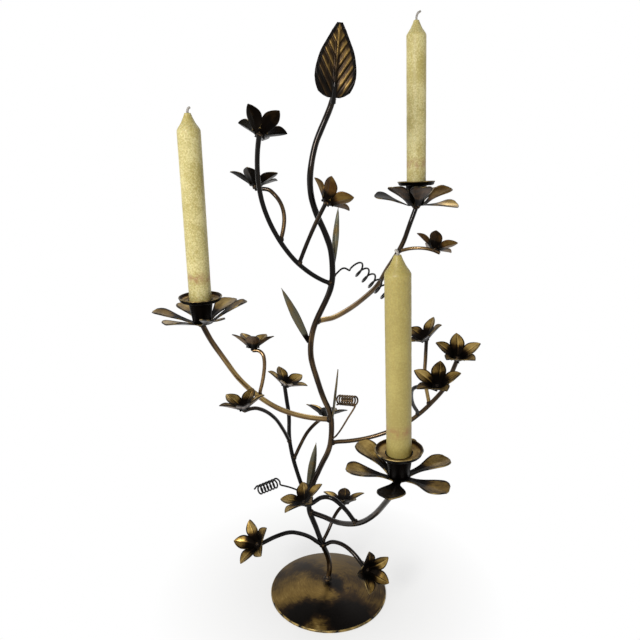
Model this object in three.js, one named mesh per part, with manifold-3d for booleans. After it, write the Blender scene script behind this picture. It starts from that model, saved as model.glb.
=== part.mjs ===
// Table candelabra for three taper candles: a bent steel trunk on a domed dish, with welded side rods
// that end in small five-petal flowers, three arms that carry a petal collar, a drip pan, a socket and
// a candle each, wound wire tendrils, blade leaves and one large leaf at the top.
// Millimetres, +Z up. The photograph's viewer stands on the -Y side.
import * as THREE from "three";
import { mergeVertices } from "three/addons/utils/BufferGeometryUtils.js";
import Module from "manifold-3d";

// Whole object
const TREE_HEIGHT = 607; // floor to the tip of the top leaf, which the route tables are shares of
const SEAT_GAP = 0.3; // between two pieces that touch

// Base dish, a domed sheet that stands on a flat foot ring
const BASE_DIAMETER = 134;
const BASE_CROWN_HEIGHT = 12;
const BASE_RIM_HEIGHT = 2.6;
const BASE_SHEET = 2;
const BASE_FOOT_WIDTH = 4;
const DOME_ROW_SHARES = [0.25, 0.5, 0.7, 0.86];

// Round rods
const TRUNK_ROD = 6;
const ARM_ROD = 5.6;
const STEM_ROD = 4.6;
const TWIG_ROD = 4;
const ROD_RING_SHARE = 1.8; // spacing of the rings that make up a rod, in rod diameters
const THICK_ROD_SIDES = 10;
const THIN_ROD_SIDES = 8;
const FEWEST_ROD_STEPS = 4;
const SEAT_SAMPLES = 6; // places along the end of a rod where its clearance under a plate is taken

// Wire tendrils
const TENDRIL_WIRE = 1.9;
const LOOSE_CURL_RADIUS = 6.8; // to the middle of the wire
const TIGHT_CURL_RADIUS = 4.9;
const TENDRIL_SIDES = 5;
const STEPS_PER_CURL = 8;
const LEAD_STEPS = 5;

// Small flowers, five petals bent up from one sheet
const FLOWER_REACH = 27; // hub centre to petal tip, along the petal
const FLOWER_HUB_RADIUS = 4;
const FLOWER_PETAL_WIDTH = 14;
const FLOWER_SHEET = 1;
const FLOWER_PETALS = 5;

// Petal collars, six long petals under each drip pan
const COLLAR_REACH = 50;
const COLLAR_HUB_RADIUS = 9.5;
const COLLAR_PETAL_WIDTH = 24;
const COLLAR_SHEET = 1.2;

// Candle sockets, drip pans, candles and wicks
const SOCKET_HEIGHT = 22.5;
const SOCKET_WALL = 1.2;
const CANDLE_CLEARANCE = 0.4;
const PAN_DIAMETER = 43;
const PAN_SHEET = 1.1;
const PAN_RIM_HEIGHT = 5;
const PAN_BEND_RADIUS = 3;
const CANDLE_DIAMETER = 22;
const CANDLE_FOOT_DIAMETER = 15;
const CANDLE_LENGTH = 198; // foot to the top of the cone
const CANDLE_CONE_LENGTH = 15;
const CANDLE_TIP_DIAMETER = 6;
const WICK_DIAMETER = 2;
const WICK_SEAT_DEPTH = 6;
const WICK_STAND = 9;
const WICK_LEAN = 5;
const WICK_SIDES = 6;
const WICK_STEPS = 6;
const ROUND_SEGMENTS = 24;
const BASE_SEGMENTS = 30;

// Leaves
const LEAF_LENGTH = 64;
const LEAF_WIDTH = 38;
const LEAF_BULGE = 3;
const LEAF_SHEET = 1.2;
const LEAF_TAB_WIDTH = 8;
const LEAF_TAB_LENGTH = 5;
const BLADE_SHEET = 1.1;
const WIDE_BLADE = 8.5;
const NARROW_BLADE = 6.5;
const BLADE_CREASE_SHARE = 0.12;

// Outlines: how far along the length each row of points lies, its width there, and a leaf's crease there
const FLOWER_ROW_SHARES = [[0, 0.34], [0.28, 0.73], [0.54, 1], [0.82, 0.66]];
const COLLAR_ROW_SHARES = [[0, 0.3], [0.3, 0.45], [0.6, 0.86], [0.82, 1], [0.95, 0.66]];
const BLADE_ROW_SHARES = [[0, 0.4, 0.4], [0.3, 0.9, 0.9], [0.55, 1, 1], [0.8, 0.62, 0.6]];
const LEAF_ROW_SHARES = [
  [0, 0.5, 0.3], [0.08, 0.78, 0.7], [0.2, 0.95, 1], [0.34, 1, 1], [0.5, 0.92, 0.9],
  [0.63, 0.79, 0.7], [0.77, 0.56, 0.5], [0.9, 0.34, 0.3], [1, 0.16, 0.1],
];
const FLOWER_CUP_SHARE = 0.3; // how far a petal's edges stand up, as a share of half its width
const COLLAR_CUP_SHARE = 0.18;
const FLOWER_CURL_SHARE = 0.35; // how much steeper a petal starts than it ends
const COLLAR_CURL_SHARE = 0.25;

// Routes, as shares of TREE_HEIGHT: across, away from the viewer, up
const TRUNK_ROUTE_SHARES = [
  [0.001, 0.002, 0.038], [0, 0.005, 0.068], [-0.014, 0, 0.11], [-0.025, -0.003, 0.147],
  [-0.036, -0.005, 0.182], [-0.034, -0.005, 0.217], [-0.026, -0.003, 0.243], [-0.012, 0, 0.275],
  [0, 0.003, 0.302], [0.004, 0.005, 0.332], [0.002, 0.005, 0.368], [-0.011, 0.002, 0.403],
  [-0.022, -0.002, 0.44], [-0.031, -0.003, 0.475], [-0.032, -0.003, 0.5], [-0.028, 0, 0.526],
  [-0.019, 0.003, 0.55], [-0.006, 0.006, 0.577], [0.003, 0.006, 0.604], [0.004, 0.005, 0.633],
  [0.001, 0.002, 0.662], [-0.008, -0.002, 0.69], [-0.02, -0.005, 0.717], [-0.029, -0.006, 0.744],
  [-0.032, -0.006, 0.773], [-0.029, -0.003, 0.803], [-0.022, 0.002, 0.832], [-0.011, 0.005, 0.858],
  [0, 0.005, 0.884], [0.004, 0.005, 0.896],
];
const TRUNK_FOOT_SHARE = [-0.007, 0, 0];
const LEAF_TIP_SHARE = [0.013, 0.005, 1];

// Arms: each ends under a petal collar, whose axis points along facing, in degrees of azimuth and
// elevation. petals lists the azimuth, the rise and any twist of each petal in degrees. wickShare is what
// has not burnt away of the wick's stand, and wickBend the azimuth it bends to.
const ARMS = [
  {
    side: "left",
    joinShare: 0.391,
    routeShares: [
      [-0.046, 0.008, 0.363], [-0.087, 0.008, 0.377], [-0.121, 0.005, 0.401], [-0.154, 0, 0.436],
      [-0.18, -0.007, 0.479], [-0.199, -0.012, 0.513], [-0.211, -0.015, 0.541],
    ],
    facing: [151, 89],
    petals: [[8, 28], [57, 20], [121, 14], [182, 17], [238, 15], [296, 20]],
    wickBend: 10,
    wickShare: 0.5,
  },
  {
    side: "right",
    joinShare: 0.599,
    routeShares: [
      [0.002, 0.021, 0.54], [0.033, 0.054, 0.546], [0.066, 0.096, 0.558], [0.091, 0.13, 0.572],
      [0.11, 0.158, 0.595], [0.127, 0.18, 0.614], [0.143, 0.197, 0.638], [0.156, 0.211, 0.67],
      [0.168, 0.217, 0.703],
    ],
    facing: [109, 84.7],
    petals: [[4, -3, -24], [60, 26], [180, 17, 18], [226, 32], [271.5, 31], [317, 28, 22]],
    wickBend: 20,
    wickShare: 1,
  },
  {
    side: "front",
    joinShare: 0.188,
    routeShares: [
      [-0.012, -0.02, 0.178], [0.012, -0.043, 0.182], [0.035, -0.074, 0.199], [0.054, -0.102, 0.222],
      [0.071, -0.132, 0.256], [0.083, -0.161, 0.294], [0.093, -0.185, 0.33], [0.1, -0.198, 0.362],
    ],
    facing: [180, 87.6],
    petals: [[18, 9], [76, 18], [139, 28], [191, 19], [254, 10], [317, 4]],
    wickBend: 170,
    wickShare: 0.4,
  },
];

// Stems: each leaves the rod named by on, at joinShare of that rod's length, and carries one small
// flower, at its end or at flowerShare of its own length.
const STEMS = [
  {
    on: "trunk",
    joinShare: 0.67,
    rod: STEM_ROD,
    routeShares: [
      [-0.025, -0.008, 0.621], [-0.05, -0.023, 0.644], [-0.066, -0.035, 0.665],
      [-0.082, -0.046, 0.692], [-0.095, -0.054, 0.721], [-0.104, -0.06, 0.752],
      [-0.108, -0.065, 0.79], [-0.107, -0.066, 0.822], [-0.104, -0.066, 0.843],
    ],
    facing: [75, 45],
    spin: 71,
    rise: 34,
  },
  {
    on: "stem_rod_01",
    joinShare: 0.429,
    rod: TWIG_ROD,
    routeShares: [
      [-0.073, -0.036, 0.703], [-0.072, -0.028, 0.722], [-0.077, -0.02, 0.739],
      [-0.086, -0.013, 0.751], [-0.097, -0.01, 0.76], [-0.109, -0.008, 0.761],
      [-0.118, -0.008, 0.761],
    ],
    facing: [75, 70],
    spin: 18,
    rise: 27,
  },
  {
    on: "stem_rod_01",
    joinShare: 0.249,
    rod: TWIG_ROD,
    routeShares: [[-0.038, -0.031, 0.676], [-0.023, -0.041, 0.712], [-0.008, -0.049, 0.743]],
    facing: [40, 40],
    spin: 45,
    rise: 34,
  },
  {
    on: "arm_rod_right",
    joinShare: 0.735,
    rod: TWIG_ROD,
    routeShares: [
      [0.15, 0.178, 0.629], [0.172, 0.171, 0.632], [0.192, 0.166, 0.63], [0.208, 0.163, 0.624],
    ],
    flowerShare: 0.86,
    facing: [55, 50],
    spin: 32,
    rise: 25,
  },
  {
    on: "trunk",
    joinShare: 0.345,
    rod: STEM_ROD,
    routeShares: [
      [0.033, 0.003, 0.317], [0.065, 0.002, 0.323], [0.099, 0, 0.335], [0.13, -0.002, 0.351],
      [0.158, -0.005, 0.375], [0.179, -0.01, 0.401], [0.194, -0.02, 0.428], [0.202, -0.036, 0.463],
      [0.207, -0.049, 0.492],
    ],
    facing: [265, 70],
    spin: 19,
    rise: 37,
  },
  {
    on: "stem_rod_05",
    joinShare: 0.63,
    rod: TWIG_ROD,
    routeShares: [
      [0.169, -0.002, 0.412], [0.165, 0.007, 0.437], [0.166, 0.015, 0.47], [0.167, 0.021, 0.5],
    ],
    facing: [185, 60],
    spin: 56,
    rise: 28,
  },
  {
    on: "stem_rod_05",
    joinShare: 0.546,
    rod: TWIG_ROD,
    routeShares: [
      [0.142, -0.023, 0.401], [0.136, -0.041, 0.426], [0.136, -0.056, 0.443], [0.142, -0.068, 0.452],
      [0.155, -0.077, 0.456], [0.171, -0.083, 0.453],
    ],
    facing: [235, 70],
    spin: 32,
    rise: 32,
  },
  {
    on: "trunk",
    joinShare: 0.202,
    rod: STEM_ROD,
    routeShares: [
      [-0.047, 0.007, 0.216], [-0.058, 0.02, 0.244], [-0.067, 0.033, 0.271], [-0.073, 0.046, 0.301],
      [-0.074, 0.063, 0.338], [-0.078, 0.072, 0.364], [-0.082, 0.082, 0.388],
    ],
    facing: [5, 70],
    spin: 27,
    rise: 29,
  },
  {
    on: "stem_rod_08",
    joinShare: 0.539,
    rod: TWIG_ROD,
    routeShares: [
      [-0.082, 0.028, 0.325], [-0.096, 0.005, 0.361], [-0.114, -0.02, 0.388], [-0.129, -0.036, 0.399],
      [-0.143, -0.047, 0.399],
    ],
    facing: [170, 80],
    spin: 22,
    rise: 31,
  },
  {
    on: "stem_rod_08",
    joinShare: 0.391,
    rod: TWIG_ROD,
    routeShares: [
      [-0.054, 0.043, 0.285], [-0.039, 0.059, 0.307], [-0.02, 0.076, 0.32], [-0.008, 0.082, 0.325],
    ],
    facing: [70, 65],
    spin: 46,
    rise: 25,
  },
  {
    on: "arm_rod_left",
    joinShare: 0.453,
    rod: TWIG_ROD,
    routeShares: [
      [-0.116, 0.013, 0.43], [-0.113, 0.021, 0.459], [-0.116, 0.026, 0.473], [-0.123, 0.03, 0.478],
      [-0.134, 0.031, 0.478],
    ],
    facing: [80, 75],
    spin: 31,
    rise: 36,
  },
  {
    on: "trunk",
    joinShare: 0.097,
    rod: STEM_ROD,
    routeShares: [
      [-0.033, -0.013, 0.128], [-0.053, -0.026, 0.146], [-0.072, -0.04, 0.158],
      [-0.096, -0.053, 0.158], [-0.123, -0.066, 0.151],
    ],
    facing: [220, 40],
    spin: 62,
    rise: 32,
  },
  {
    on: "trunk",
    joinShare: 0.099,
    rod: STEM_ROD,
    routeShares: [
      [0.001, -0.008, 0.114], [0.013, -0.02, 0.123], [0.029, -0.035, 0.126], [0.046, -0.049, 0.118],
      [0.065, -0.066, 0.1],
    ],
    facing: [304, 22],
    spin: 22,
    rise: 38,
  },
  {
    on: "trunk",
    joinShare: 0.108,
    rod: TWIG_ROD,
    routeShares: [[0, 0.01, 0.129], [0.009, 0.02, 0.147], [0.02, 0.03, 0.16], [0.028, 0.036, 0.164]],
    facing: [90, 75],
    spin: 48,
    rise: 27,
  },
  {
    on: "arm_rod_front",
    joinShare: 0.381,
    rod: STEM_ROD,
    routeShares: [
      [0.032, -0.089, 0.23], [0.016, -0.087, 0.248], [0.001, -0.082, 0.256], [-0.014, -0.076, 0.252],
      [-0.025, -0.07, 0.241], [-0.033, -0.066, 0.233], [-0.042, -0.062, 0.229],
    ],
    facing: [180, 65],
    spin: 31,
    rise: 22,
  },
];

// Tendrils: a wire leaves its rod, passes leadShare and winds round the line from coilFromShare to
// coilToShare.
const TENDRILS = [
  {
    on: "trunk",
    joinShare: 0.682,
    leadShare: [0.022, 0.01, 0.63],
    coilFromShare: [0.04, 0.013, 0.634],
    coilToShare: [0.1, 0.026, 0.578],
    coilRadius: LOOSE_CURL_RADIUS,
    curls: 5.5,
    hand: 1,
  },
  {
    on: "trunk",
    joinShare: 0.349,
    leadShare: [0.015, -0.01, 0.338],
    coilFromShare: [0.045, -0.016, 0.403],
    coilToShare: [0.017, 0.023, 0.388],
    coilRadius: TIGHT_CURL_RADIUS,
    curls: 7,
    hand: 1,
  },
  {
    on: "stem_rod_08",
    joinShare: 0.103,
    leadShare: [-0.065, 0, 0.223],
    coilFromShare: [-0.093, -0.003, 0.237],
    coilToShare: [-0.13, 0.013, 0.211],
    coilRadius: TIGHT_CURL_RADIUS,
    curls: 6.5,
    hand: -1,
  },
];

// Blade leaves: each grows from the trunk to tipShare; turn swings its flat side away from the viewer.
const BLADES = [
  { joinShare: 0.553, tipShare: [-0.08, 0.003, 0.598], width: WIDE_BLADE, turn: 20 },
  { joinShare: 0.695, tipShare: [0.013, 0.02, 0.729], width: NARROW_BLADE, turn: -15 },
  { joinShare: 0.36, tipShare: [0.016, -0.006, 0.457], width: NARROW_BLADE, turn: 70 },
  { joinShare: 0.224, tipShare: [-0.023, 0.013, 0.308], width: WIDE_BLADE, turn: 10 },
];

const BRONZE = new THREE.MeshStandardMaterial({ color: 0x3b2c1a, roughness: 0.42, metalness: 0.85 });
const PETAL_BRONZE = new THREE.MeshStandardMaterial({ color: 0x5a4526, roughness: 0.45, metalness: 0.8 });
const WAX = new THREE.MeshStandardMaterial({ color: 0xb8ad66, roughness: 0.6, metalness: 0 });
const WICK_COTTON = new THREE.MeshStandardMaterial({ color: 0xd9d4c6, roughness: 0.9, metalness: 0 });

const wasm = await Module();
wasm.setup();

function vectorOf(numbers) {
  return new THREE.Vector3(...numbers);
}

function placeOf(share) {
  return vectorOf(share).multiplyScalar(TREE_HEIGHT);
}

function radians(degrees) {
  return THREE.MathUtils.degToRad(degrees);
}

function directionOf([azimuth, elevation]) {
  const flat = Math.cos(radians(elevation));
  return new THREE.Vector3(
    flat * Math.cos(radians(azimuth)),
    flat * Math.sin(radians(azimuth)),
    Math.sin(radians(elevation)),
  );
}

// A turn that points local +Z along facing, with local +X level and a quarter turn on from the azimuth.
function facingTurn(facing) {
  const out = directionOf(facing);
  const level = directionOf([facing[0] + 90, 0]);
  return new THREE.Quaternion().setFromRotationMatrix(
    new THREE.Matrix4().makeBasis(level, new THREE.Vector3().crossVectors(out, level), out),
  );
}

// One closed surface with merged corners, no triangle without area, and its faces pointing out.
function closedSurface(geometry) {
  const bare = geometry.index ? geometry : mergeVertices(geometry);
  bare.deleteAttribute("normal");
  bare.deleteAttribute("uv");
  const merged = mergeVertices(bare);
  const place = merged.attributes.position;
  const corners = [];
  let volume = 0;
  const [a, b, c] = [new THREE.Vector3(), new THREE.Vector3(), new THREE.Vector3()];
  for (let i = 0; i < merged.index.count; i += 3) {
    const face = [merged.index.getX(i), merged.index.getX(i + 1), merged.index.getX(i + 2)];
    if (new Set(face).size < 3) continue;
    corners.push(...face);
    a.fromBufferAttribute(place, face[0]);
    b.fromBufferAttribute(place, face[1]);
    c.fromBufferAttribute(place, face[2]);
    volume += a.dot(b.cross(c));
  }
  merged.setIndex(volume < 0 ? corners.reverse() : corners);
  return merged;
}

function solidOf(geometry) {
  return new wasm.Manifold(new wasm.Mesh({
    numProp: 3,
    vertProperties: Float32Array.from(geometry.attributes.position.array),
    triVerts: Uint32Array.from(geometry.index.array),
  }));
}

function geometryOf(solid) {
  const mesh = solid.getMesh();
  const geometry = new THREE.BufferGeometry();
  geometry.setAttribute("position", new THREE.BufferAttribute(Float32Array.from(mesh.vertProperties), 3));
  geometry.setIndex(Array.from(mesh.triVerts));
  return closedSurface(geometry);
}

function without(geometry, cutter) {
  return geometryOf(solidOf(geometry).subtract(solidOf(cutter)));
}

// Sheet metal: an open surface given by its upper points and faces, thickened downwards.
function thickened(points, faces, thickness) {
  const normals = points.map(() => new THREE.Vector3());
  const edges = new Map();
  for (const [a, b, c] of faces) {
    const normal = new THREE.Vector3().subVectors(points[b], points[a])
      .cross(new THREE.Vector3().subVectors(points[c], points[a]));
    for (const corner of [a, b, c]) normals[corner].add(normal);
    for (const [from, to] of [[a, b], [b, c], [c, a]]) {
      if (!edges.delete(`${to},${from}`)) edges.set(`${from},${to}`, [from, to]);
    }
  }
  const below = points.map((point, i) => point.clone().addScaledVector(normals[i].normalize(), -thickness));
  const under = points.length;
  const corners = faces.flat();
  for (const [a, b, c] of faces) corners.push(under + a, under + c, under + b);
  for (const [a, b] of edges.values()) corners.push(a, under + a, under + b, a, under + b, b);
  const geometry = new THREE.BufferGeometry().setFromPoints([...points, ...below]);
  geometry.setIndex(corners);
  return closedSurface(geometry);
}

function revolved(profile, segments) {
  const points = profile.map(([radius, height]) => new THREE.Vector2(radius, height));
  return closedSurface(new THREE.LatheGeometry(points, segments).rotateX(radians(90)));
}

function curveThrough(points) {
  return new THREE.CatmullRomCurve3(points, false, "centripetal");
}

function rodAlong(curve, diameter, sides, steps) {
  const section = new THREE.Shape();
  for (let i = 0; i < sides; i++) {
    const turn = (i / sides) * 2 * Math.PI;
    const corner = [Math.cos(turn) * diameter / 2, Math.sin(turn) * diameter / 2];
    if (i === 0) section.moveTo(...corner);
    else section.lineTo(...corner);
  }
  section.closePath();
  const settings = { steps, bevelEnabled: false, extrudePath: curve };
  return closedSurface(new THREE.ExtrudeGeometry(section, settings));
}

function domeHeight(radius) {
  const rest = 1 - (radius / (BASE_DIAMETER / 2)) ** 2;
  return BASE_RIM_HEIGHT + (BASE_CROWN_HEIGHT - BASE_RIM_HEIGHT) * rest;
}

// The domed face from its middle to its rim, raised by lift
function domeProfile(lift) {
  const rim = BASE_DIAMETER / 2;
  return [0, ...DOME_ROW_SHARES, 1].map((share) => [share * rim, domeHeight(share * rim) + lift]);
}

function baseDish() {
  const rim = BASE_DIAMETER / 2;
  return revolved([
    ...domeProfile(-BASE_SHEET).slice(0, -1),
    [rim - BASE_FOOT_WIDTH, 0],
    [rim, 0],
    ...domeProfile(0).reverse(),
  ], BASE_SEGMENTS);
}

// The space that the foot of the trunk keeps off
function dishCutter() {
  const rim = BASE_DIAMETER / 2;
  return revolved([[0, 0], [rim, 0], ...domeProfile(SEAT_GAP).reverse()], BASE_SEGMENTS);
}

// How far a plate has to stand off a rod's line at seatShare, along its own axis, to clear the rod by
// SEAT_GAP
function seatHeight(curve, diameter, axis, plateRadius, seatShare) {
  const seat = curve.getPointAt(seatShare);
  const reach = (plateRadius + diameter / 2) / curve.getLength();
  let highest = 0;
  for (let i = -SEAT_SAMPLES; i <= SEAT_SAMPLES; i++) {
    const at = Math.min(1, seatShare + reach * i / SEAT_SAMPLES);
    const lean = curve.getTangentAt(at).dot(axis);
    const centre = curve.getPointAt(at).sub(seat).dot(axis);
    highest = Math.max(highest, centre + (diameter / 2) * Math.sqrt(Math.max(0, 1 - lean * lean)));
  }
  return highest + SEAT_GAP;
}

// One sheet of petals round a flat hub. Each petal has its azimuth, its rise and, where it is bent askew,
// the twist of its tip in degrees.
function petalSheet(petals, form) {
  const points = [new THREE.Vector3(0, 0, form.sheet)];
  const faces = [];
  const length = form.reach - form.hubRadius;
  for (const [azimuth, rise, twist = 0] of petals) {
    const first = points.length;
    const out = directionOf([azimuth, 0]);
    const side = directionOf([azimuth + 90, 0]);
    const middle = new THREE.Vector3(0, 0, form.sheet).addScaledVector(out, form.hubRadius);
    let last = 0;
    for (const [share, widthShare] of form.rowShares) {
      const slope = radians(rise) * (1 + form.curlShare * (1 - share - last));
      const along = out.clone().multiplyScalar(Math.cos(slope)).setZ(Math.sin(slope));
      const across = side.clone().applyAxisAngle(along, -radians(twist) * share);
      const lift = new THREE.Vector3().crossVectors(along, across);
      middle.addScaledVector(along, (share - last) * length);
      const half = form.petalWidth * widthShare / 2;
      const cup = share > 0 ? half * form.cupShare : 0;
      points.push(middle.clone().addScaledVector(across, -half).addScaledVector(lift, cup));
      points.push(middle.clone());
      points.push(middle.clone().addScaledVector(across, half).addScaledVector(lift, cup));
      last = share;
    }
    const slope = radians(rise) * (1 - form.curlShare);
    const along = out.clone().multiplyScalar(Math.cos(slope)).setZ(Math.sin(slope));
    points.push(middle.clone().addScaledVector(along, (1 - last) * length));
    for (let row = 0; row < form.rowShares.length - 1; row++) {
      const [right, mid, left] = [0, 1, 2].map((i) => first + 3 * row + i);
      faces.push([right, right + 3, mid + 3], [right, mid + 3, mid]);
      faces.push([mid, mid + 3, left + 3], [mid, left + 3, left]);
    }
    const tip = points.length - 1;
    faces.push([tip - 3, tip, tip - 2], [tip - 2, tip, tip - 1]);
  }
  const perPetal = (points.length - 1) / petals.length;
  for (let i = 0; i < petals.length; i++) {
    const first = 1 + i * perPetal;
    const next = 1 + ((i + 1) % petals.length) * perPetal;
    faces.push([0, first, first + 1], [0, first + 1, first + 2], [0, first + 2, next]);
  }
  return thickened(points, faces, form.sheet);
}

const FLOWER_FORM = {
  reach: FLOWER_REACH,
  hubRadius: FLOWER_HUB_RADIUS,
  petalWidth: FLOWER_PETAL_WIDTH,
  sheet: FLOWER_SHEET,
  rowShares: FLOWER_ROW_SHARES,
  cupShare: FLOWER_CUP_SHARE,
  curlShare: FLOWER_CURL_SHARE,
};
const COLLAR_FORM = {
  reach: COLLAR_REACH,
  hubRadius: COLLAR_HUB_RADIUS,
  petalWidth: COLLAR_PETAL_WIDTH,
  sheet: COLLAR_SHEET,
  rowShares: COLLAR_ROW_SHARES,
  cupShare: COLLAR_CUP_SHARE,
  curlShare: COLLAR_CURL_SHARE,
};

// A sheet leaf along local +Y, creased along its middle, that faces local +Z.
function leafSheet(length, width, rowShares, crease, thickness, pointed) {
  const points = [];
  const faces = [];
  for (const [share, widthShare, creaseShare] of rowShares) {
    const half = width * widthShare / 2;
    points.push(new THREE.Vector3(-half, share * length, 0));
    points.push(new THREE.Vector3(0, share * length, crease * creaseShare));
    points.push(new THREE.Vector3(half, share * length, 0));
  }
  for (let i = 0; i + 5 < points.length; i += 3) {
    faces.push([i, i + 1, i + 4], [i, i + 4, i + 3], [i + 1, i + 2, i + 5], [i + 1, i + 5, i + 4]);
  }
  if (pointed) {
    const last = points.length;
    points.push(new THREE.Vector3(0, length, 0));
    faces.push([last - 3, last - 2, last], [last - 2, last - 1, last]);
  }
  return thickened(points, faces, thickness);
}

function topLeaf() {
  const tab = [-LEAF_TAB_LENGTH / LEAF_LENGTH, LEAF_TAB_WIDTH / LEAF_WIDTH, 0];
  return leafSheet(LEAF_LENGTH, LEAF_WIDTH, [tab, ...LEAF_ROW_SHARES], LEAF_BULGE, LEAF_SHEET, false);
}

// The turn of a leaf that grows along a line and shows its flat side to the viewer, swung by turn degrees.
function leafTurn(along, turn) {
  const up = along.clone().normalize();
  const face = new THREE.Vector3(0, -1, 0).addScaledVector(up, up.y).normalize();
  face.applyAxisAngle(up, radians(turn));
  return new THREE.Quaternion().setFromRotationMatrix(
    new THREE.Matrix4().makeBasis(new THREE.Vector3().crossVectors(up, face), up, face),
  );
}

// A wire tube through a list of points, whose rings are carried along without a twist.
function wireThrough(points, diameter) {
  const corners = [];
  const faces = [];
  const side = new THREE.Vector3();
  points.forEach((point, i) => {
    const before = points[Math.max(0, i - 1)];
    const after = points[Math.min(points.length - 1, i + 1)];
    const along = new THREE.Vector3().subVectors(after, before).normalize();
    if (i === 0) side.set(along.y, along.z, along.x);
    side.addScaledVector(along, -side.dot(along)).normalize();
    const other = new THREE.Vector3().crossVectors(along, side);
    for (let k = 0; k < TENDRIL_SIDES; k++) {
      const turn = (k / TENDRIL_SIDES) * 2 * Math.PI;
      corners.push(point.clone()
        .addScaledVector(side, Math.cos(turn) * diameter / 2)
        .addScaledVector(other, Math.sin(turn) * diameter / 2));
      const here = i * TENDRIL_SIDES + k;
      const next = i * TENDRIL_SIDES + (k + 1) % TENDRIL_SIDES;
      const up = TENDRIL_SIDES;
      if (i < points.length - 1) faces.push(here, next, next + up, here, next + up, here + up);
    }
  });
  const last = (points.length - 1) * TENDRIL_SIDES;
  for (let k = 1; k + 1 < TENDRIL_SIDES; k++) {
    faces.push(0, k + 1, k, last, last + k, last + k + 1);
  }
  const geometry = new THREE.BufferGeometry().setFromPoints(corners);
  geometry.setIndex(faces);
  return closedSurface(geometry);
}

function tendrilPoints(tendril, start) {
  const from = placeOf(tendril.coilFromShare);
  const to = placeOf(tendril.coilToShare);
  const lead = placeOf(tendril.leadShare);
  const axis = new THREE.Vector3().subVectors(to, from);
  const along = axis.clone().normalize();
  const reach = new THREE.Vector3().subVectors(lead, from);
  const first = reach.addScaledVector(along, -reach.dot(along)).normalize();
  const second = new THREE.Vector3().crossVectors(along, first).multiplyScalar(tendril.hand);
  const turns = Math.round(tendril.curls * STEPS_PER_CURL);
  const coil = [];
  for (let i = 0; i <= turns; i++) {
    const turn = (i / STEPS_PER_CURL) * 2 * Math.PI;
    coil.push(from.clone()
      .addScaledVector(axis, i / turns)
      .addScaledVector(first, Math.cos(turn) * tendril.coilRadius)
      .addScaledVector(second, Math.sin(turn) * tendril.coilRadius));
  }
  const lastStep = new THREE.Vector3().subVectors(coil[turns], coil[turns - 1]).normalize();
  coil.push(coil[turns].clone().addScaledVector(lastStep, TENDRIL_WIRE));
  return [...curveThrough([start, lead, coil[0]]).getPoints(LEAD_STEPS).slice(0, -1), ...coil];
}

// The least clear space between any two turns of a wound wire.
function leastGap(points, diameter) {
  let least = Infinity;
  for (let i = 0; i < points.length; i++) {
    for (let k = i + STEPS_PER_CURL / 2; k < points.length; k++) {
      least = Math.min(least, points[i].distanceTo(points[k]) - diameter);
    }
  }
  return least;
}

function candleRadius(height) {
  const share = Math.min(1, height / SOCKET_HEIGHT);
  return (CANDLE_FOOT_DIAMETER + (CANDLE_DIAMETER - CANDLE_FOOT_DIAMETER) * share) / 2;
}

// The socket's bore at a height above its floor, which follows the candle's tapered foot
function boreRadius(height) {
  return candleRadius(height) + CANDLE_CLEARANCE;
}

// The socket stands on z = 0 with its mouth at SOCKET_HEIGHT.
function candleSocket() {
  const mouth = boreRadius(SOCKET_HEIGHT - SOCKET_WALL);
  return revolved([
    [0, 0],
    [boreRadius(0) + SOCKET_WALL, 0],
    [mouth + SOCKET_WALL, SOCKET_HEIGHT],
    [mouth, SOCKET_HEIGHT],
    [boreRadius(0), SOCKET_WALL],
    [0, SOCKET_WALL],
  ], ROUND_SEGMENTS);
}

// The pan is a flat ring round the socket's mouth with a turned-up edge; z = 0 is its underside.
function dripPan() {
  const mouth = boreRadius(SOCKET_HEIGHT - SOCKET_WALL) + SOCKET_WALL + SEAT_GAP;
  const edge = PAN_DIAMETER / 2;
  const bend = edge - PAN_BEND_RADIUS;
  return revolved([
    [mouth, 0],
    [bend, 0],
    [edge, PAN_BEND_RADIUS],
    [edge, PAN_RIM_HEIGHT],
    [edge - PAN_SHEET, PAN_RIM_HEIGHT],
    [edge - PAN_SHEET, PAN_BEND_RADIUS],
    [bend - PAN_SHEET / 2, PAN_SHEET],
    [mouth, PAN_SHEET],
    [mouth, 0],
  ], ROUND_SEGMENTS);
}

// The candle stands on z = 0 with a blind hole for the wick in its tip.
function candle() {
  const hole = WICK_DIAMETER / 2 + SEAT_GAP;
  return revolved([
    [0, 0],
    [candleRadius(0), 0],
    [candleRadius(SOCKET_HEIGHT), SOCKET_HEIGHT],
    [CANDLE_DIAMETER / 2, CANDLE_LENGTH - CANDLE_CONE_LENGTH],
    [CANDLE_TIP_DIAMETER / 2, CANDLE_LENGTH],
    [hole, CANDLE_LENGTH],
    [hole, CANDLE_LENGTH - WICK_SEAT_DEPTH],
    [0, CANDLE_LENGTH - WICK_SEAT_DEPTH],
  ], ROUND_SEGMENTS);
}

// The wick starts at the bottom of its hole, and bends over above the tip.
function wick(bend, share) {
  const lean = directionOf([bend, 0]).multiplyScalar(WICK_LEAN * share);
  const stand = WICK_STAND * share;
  const curve = curveThrough([
    new THREE.Vector3(0, 0, 0),
    new THREE.Vector3(0, 0, WICK_SEAT_DEPTH / 2),
    new THREE.Vector3(0, 0, WICK_SEAT_DEPTH),
    new THREE.Vector3(0, 0, WICK_SEAT_DEPTH + stand / 4),
    new THREE.Vector3(lean.x / 3, lean.y / 3, WICK_SEAT_DEPTH + stand * 3 / 4),
    new THREE.Vector3(lean.x, lean.y, WICK_SEAT_DEPTH + stand),
  ]);
  return rodAlong(curve, WICK_DIAMETER, WICK_SIDES, WICK_STEPS);
}

function addMesh(group, name, geometry, material) {
  const mesh = new THREE.Mesh(geometry, material);
  mesh.name = name;
  group.add(mesh);
  return mesh;
}

// Every rod by name, with its curve, its size and the fatter rod that cuts whatever is welded to it
const rods = new Map();

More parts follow.
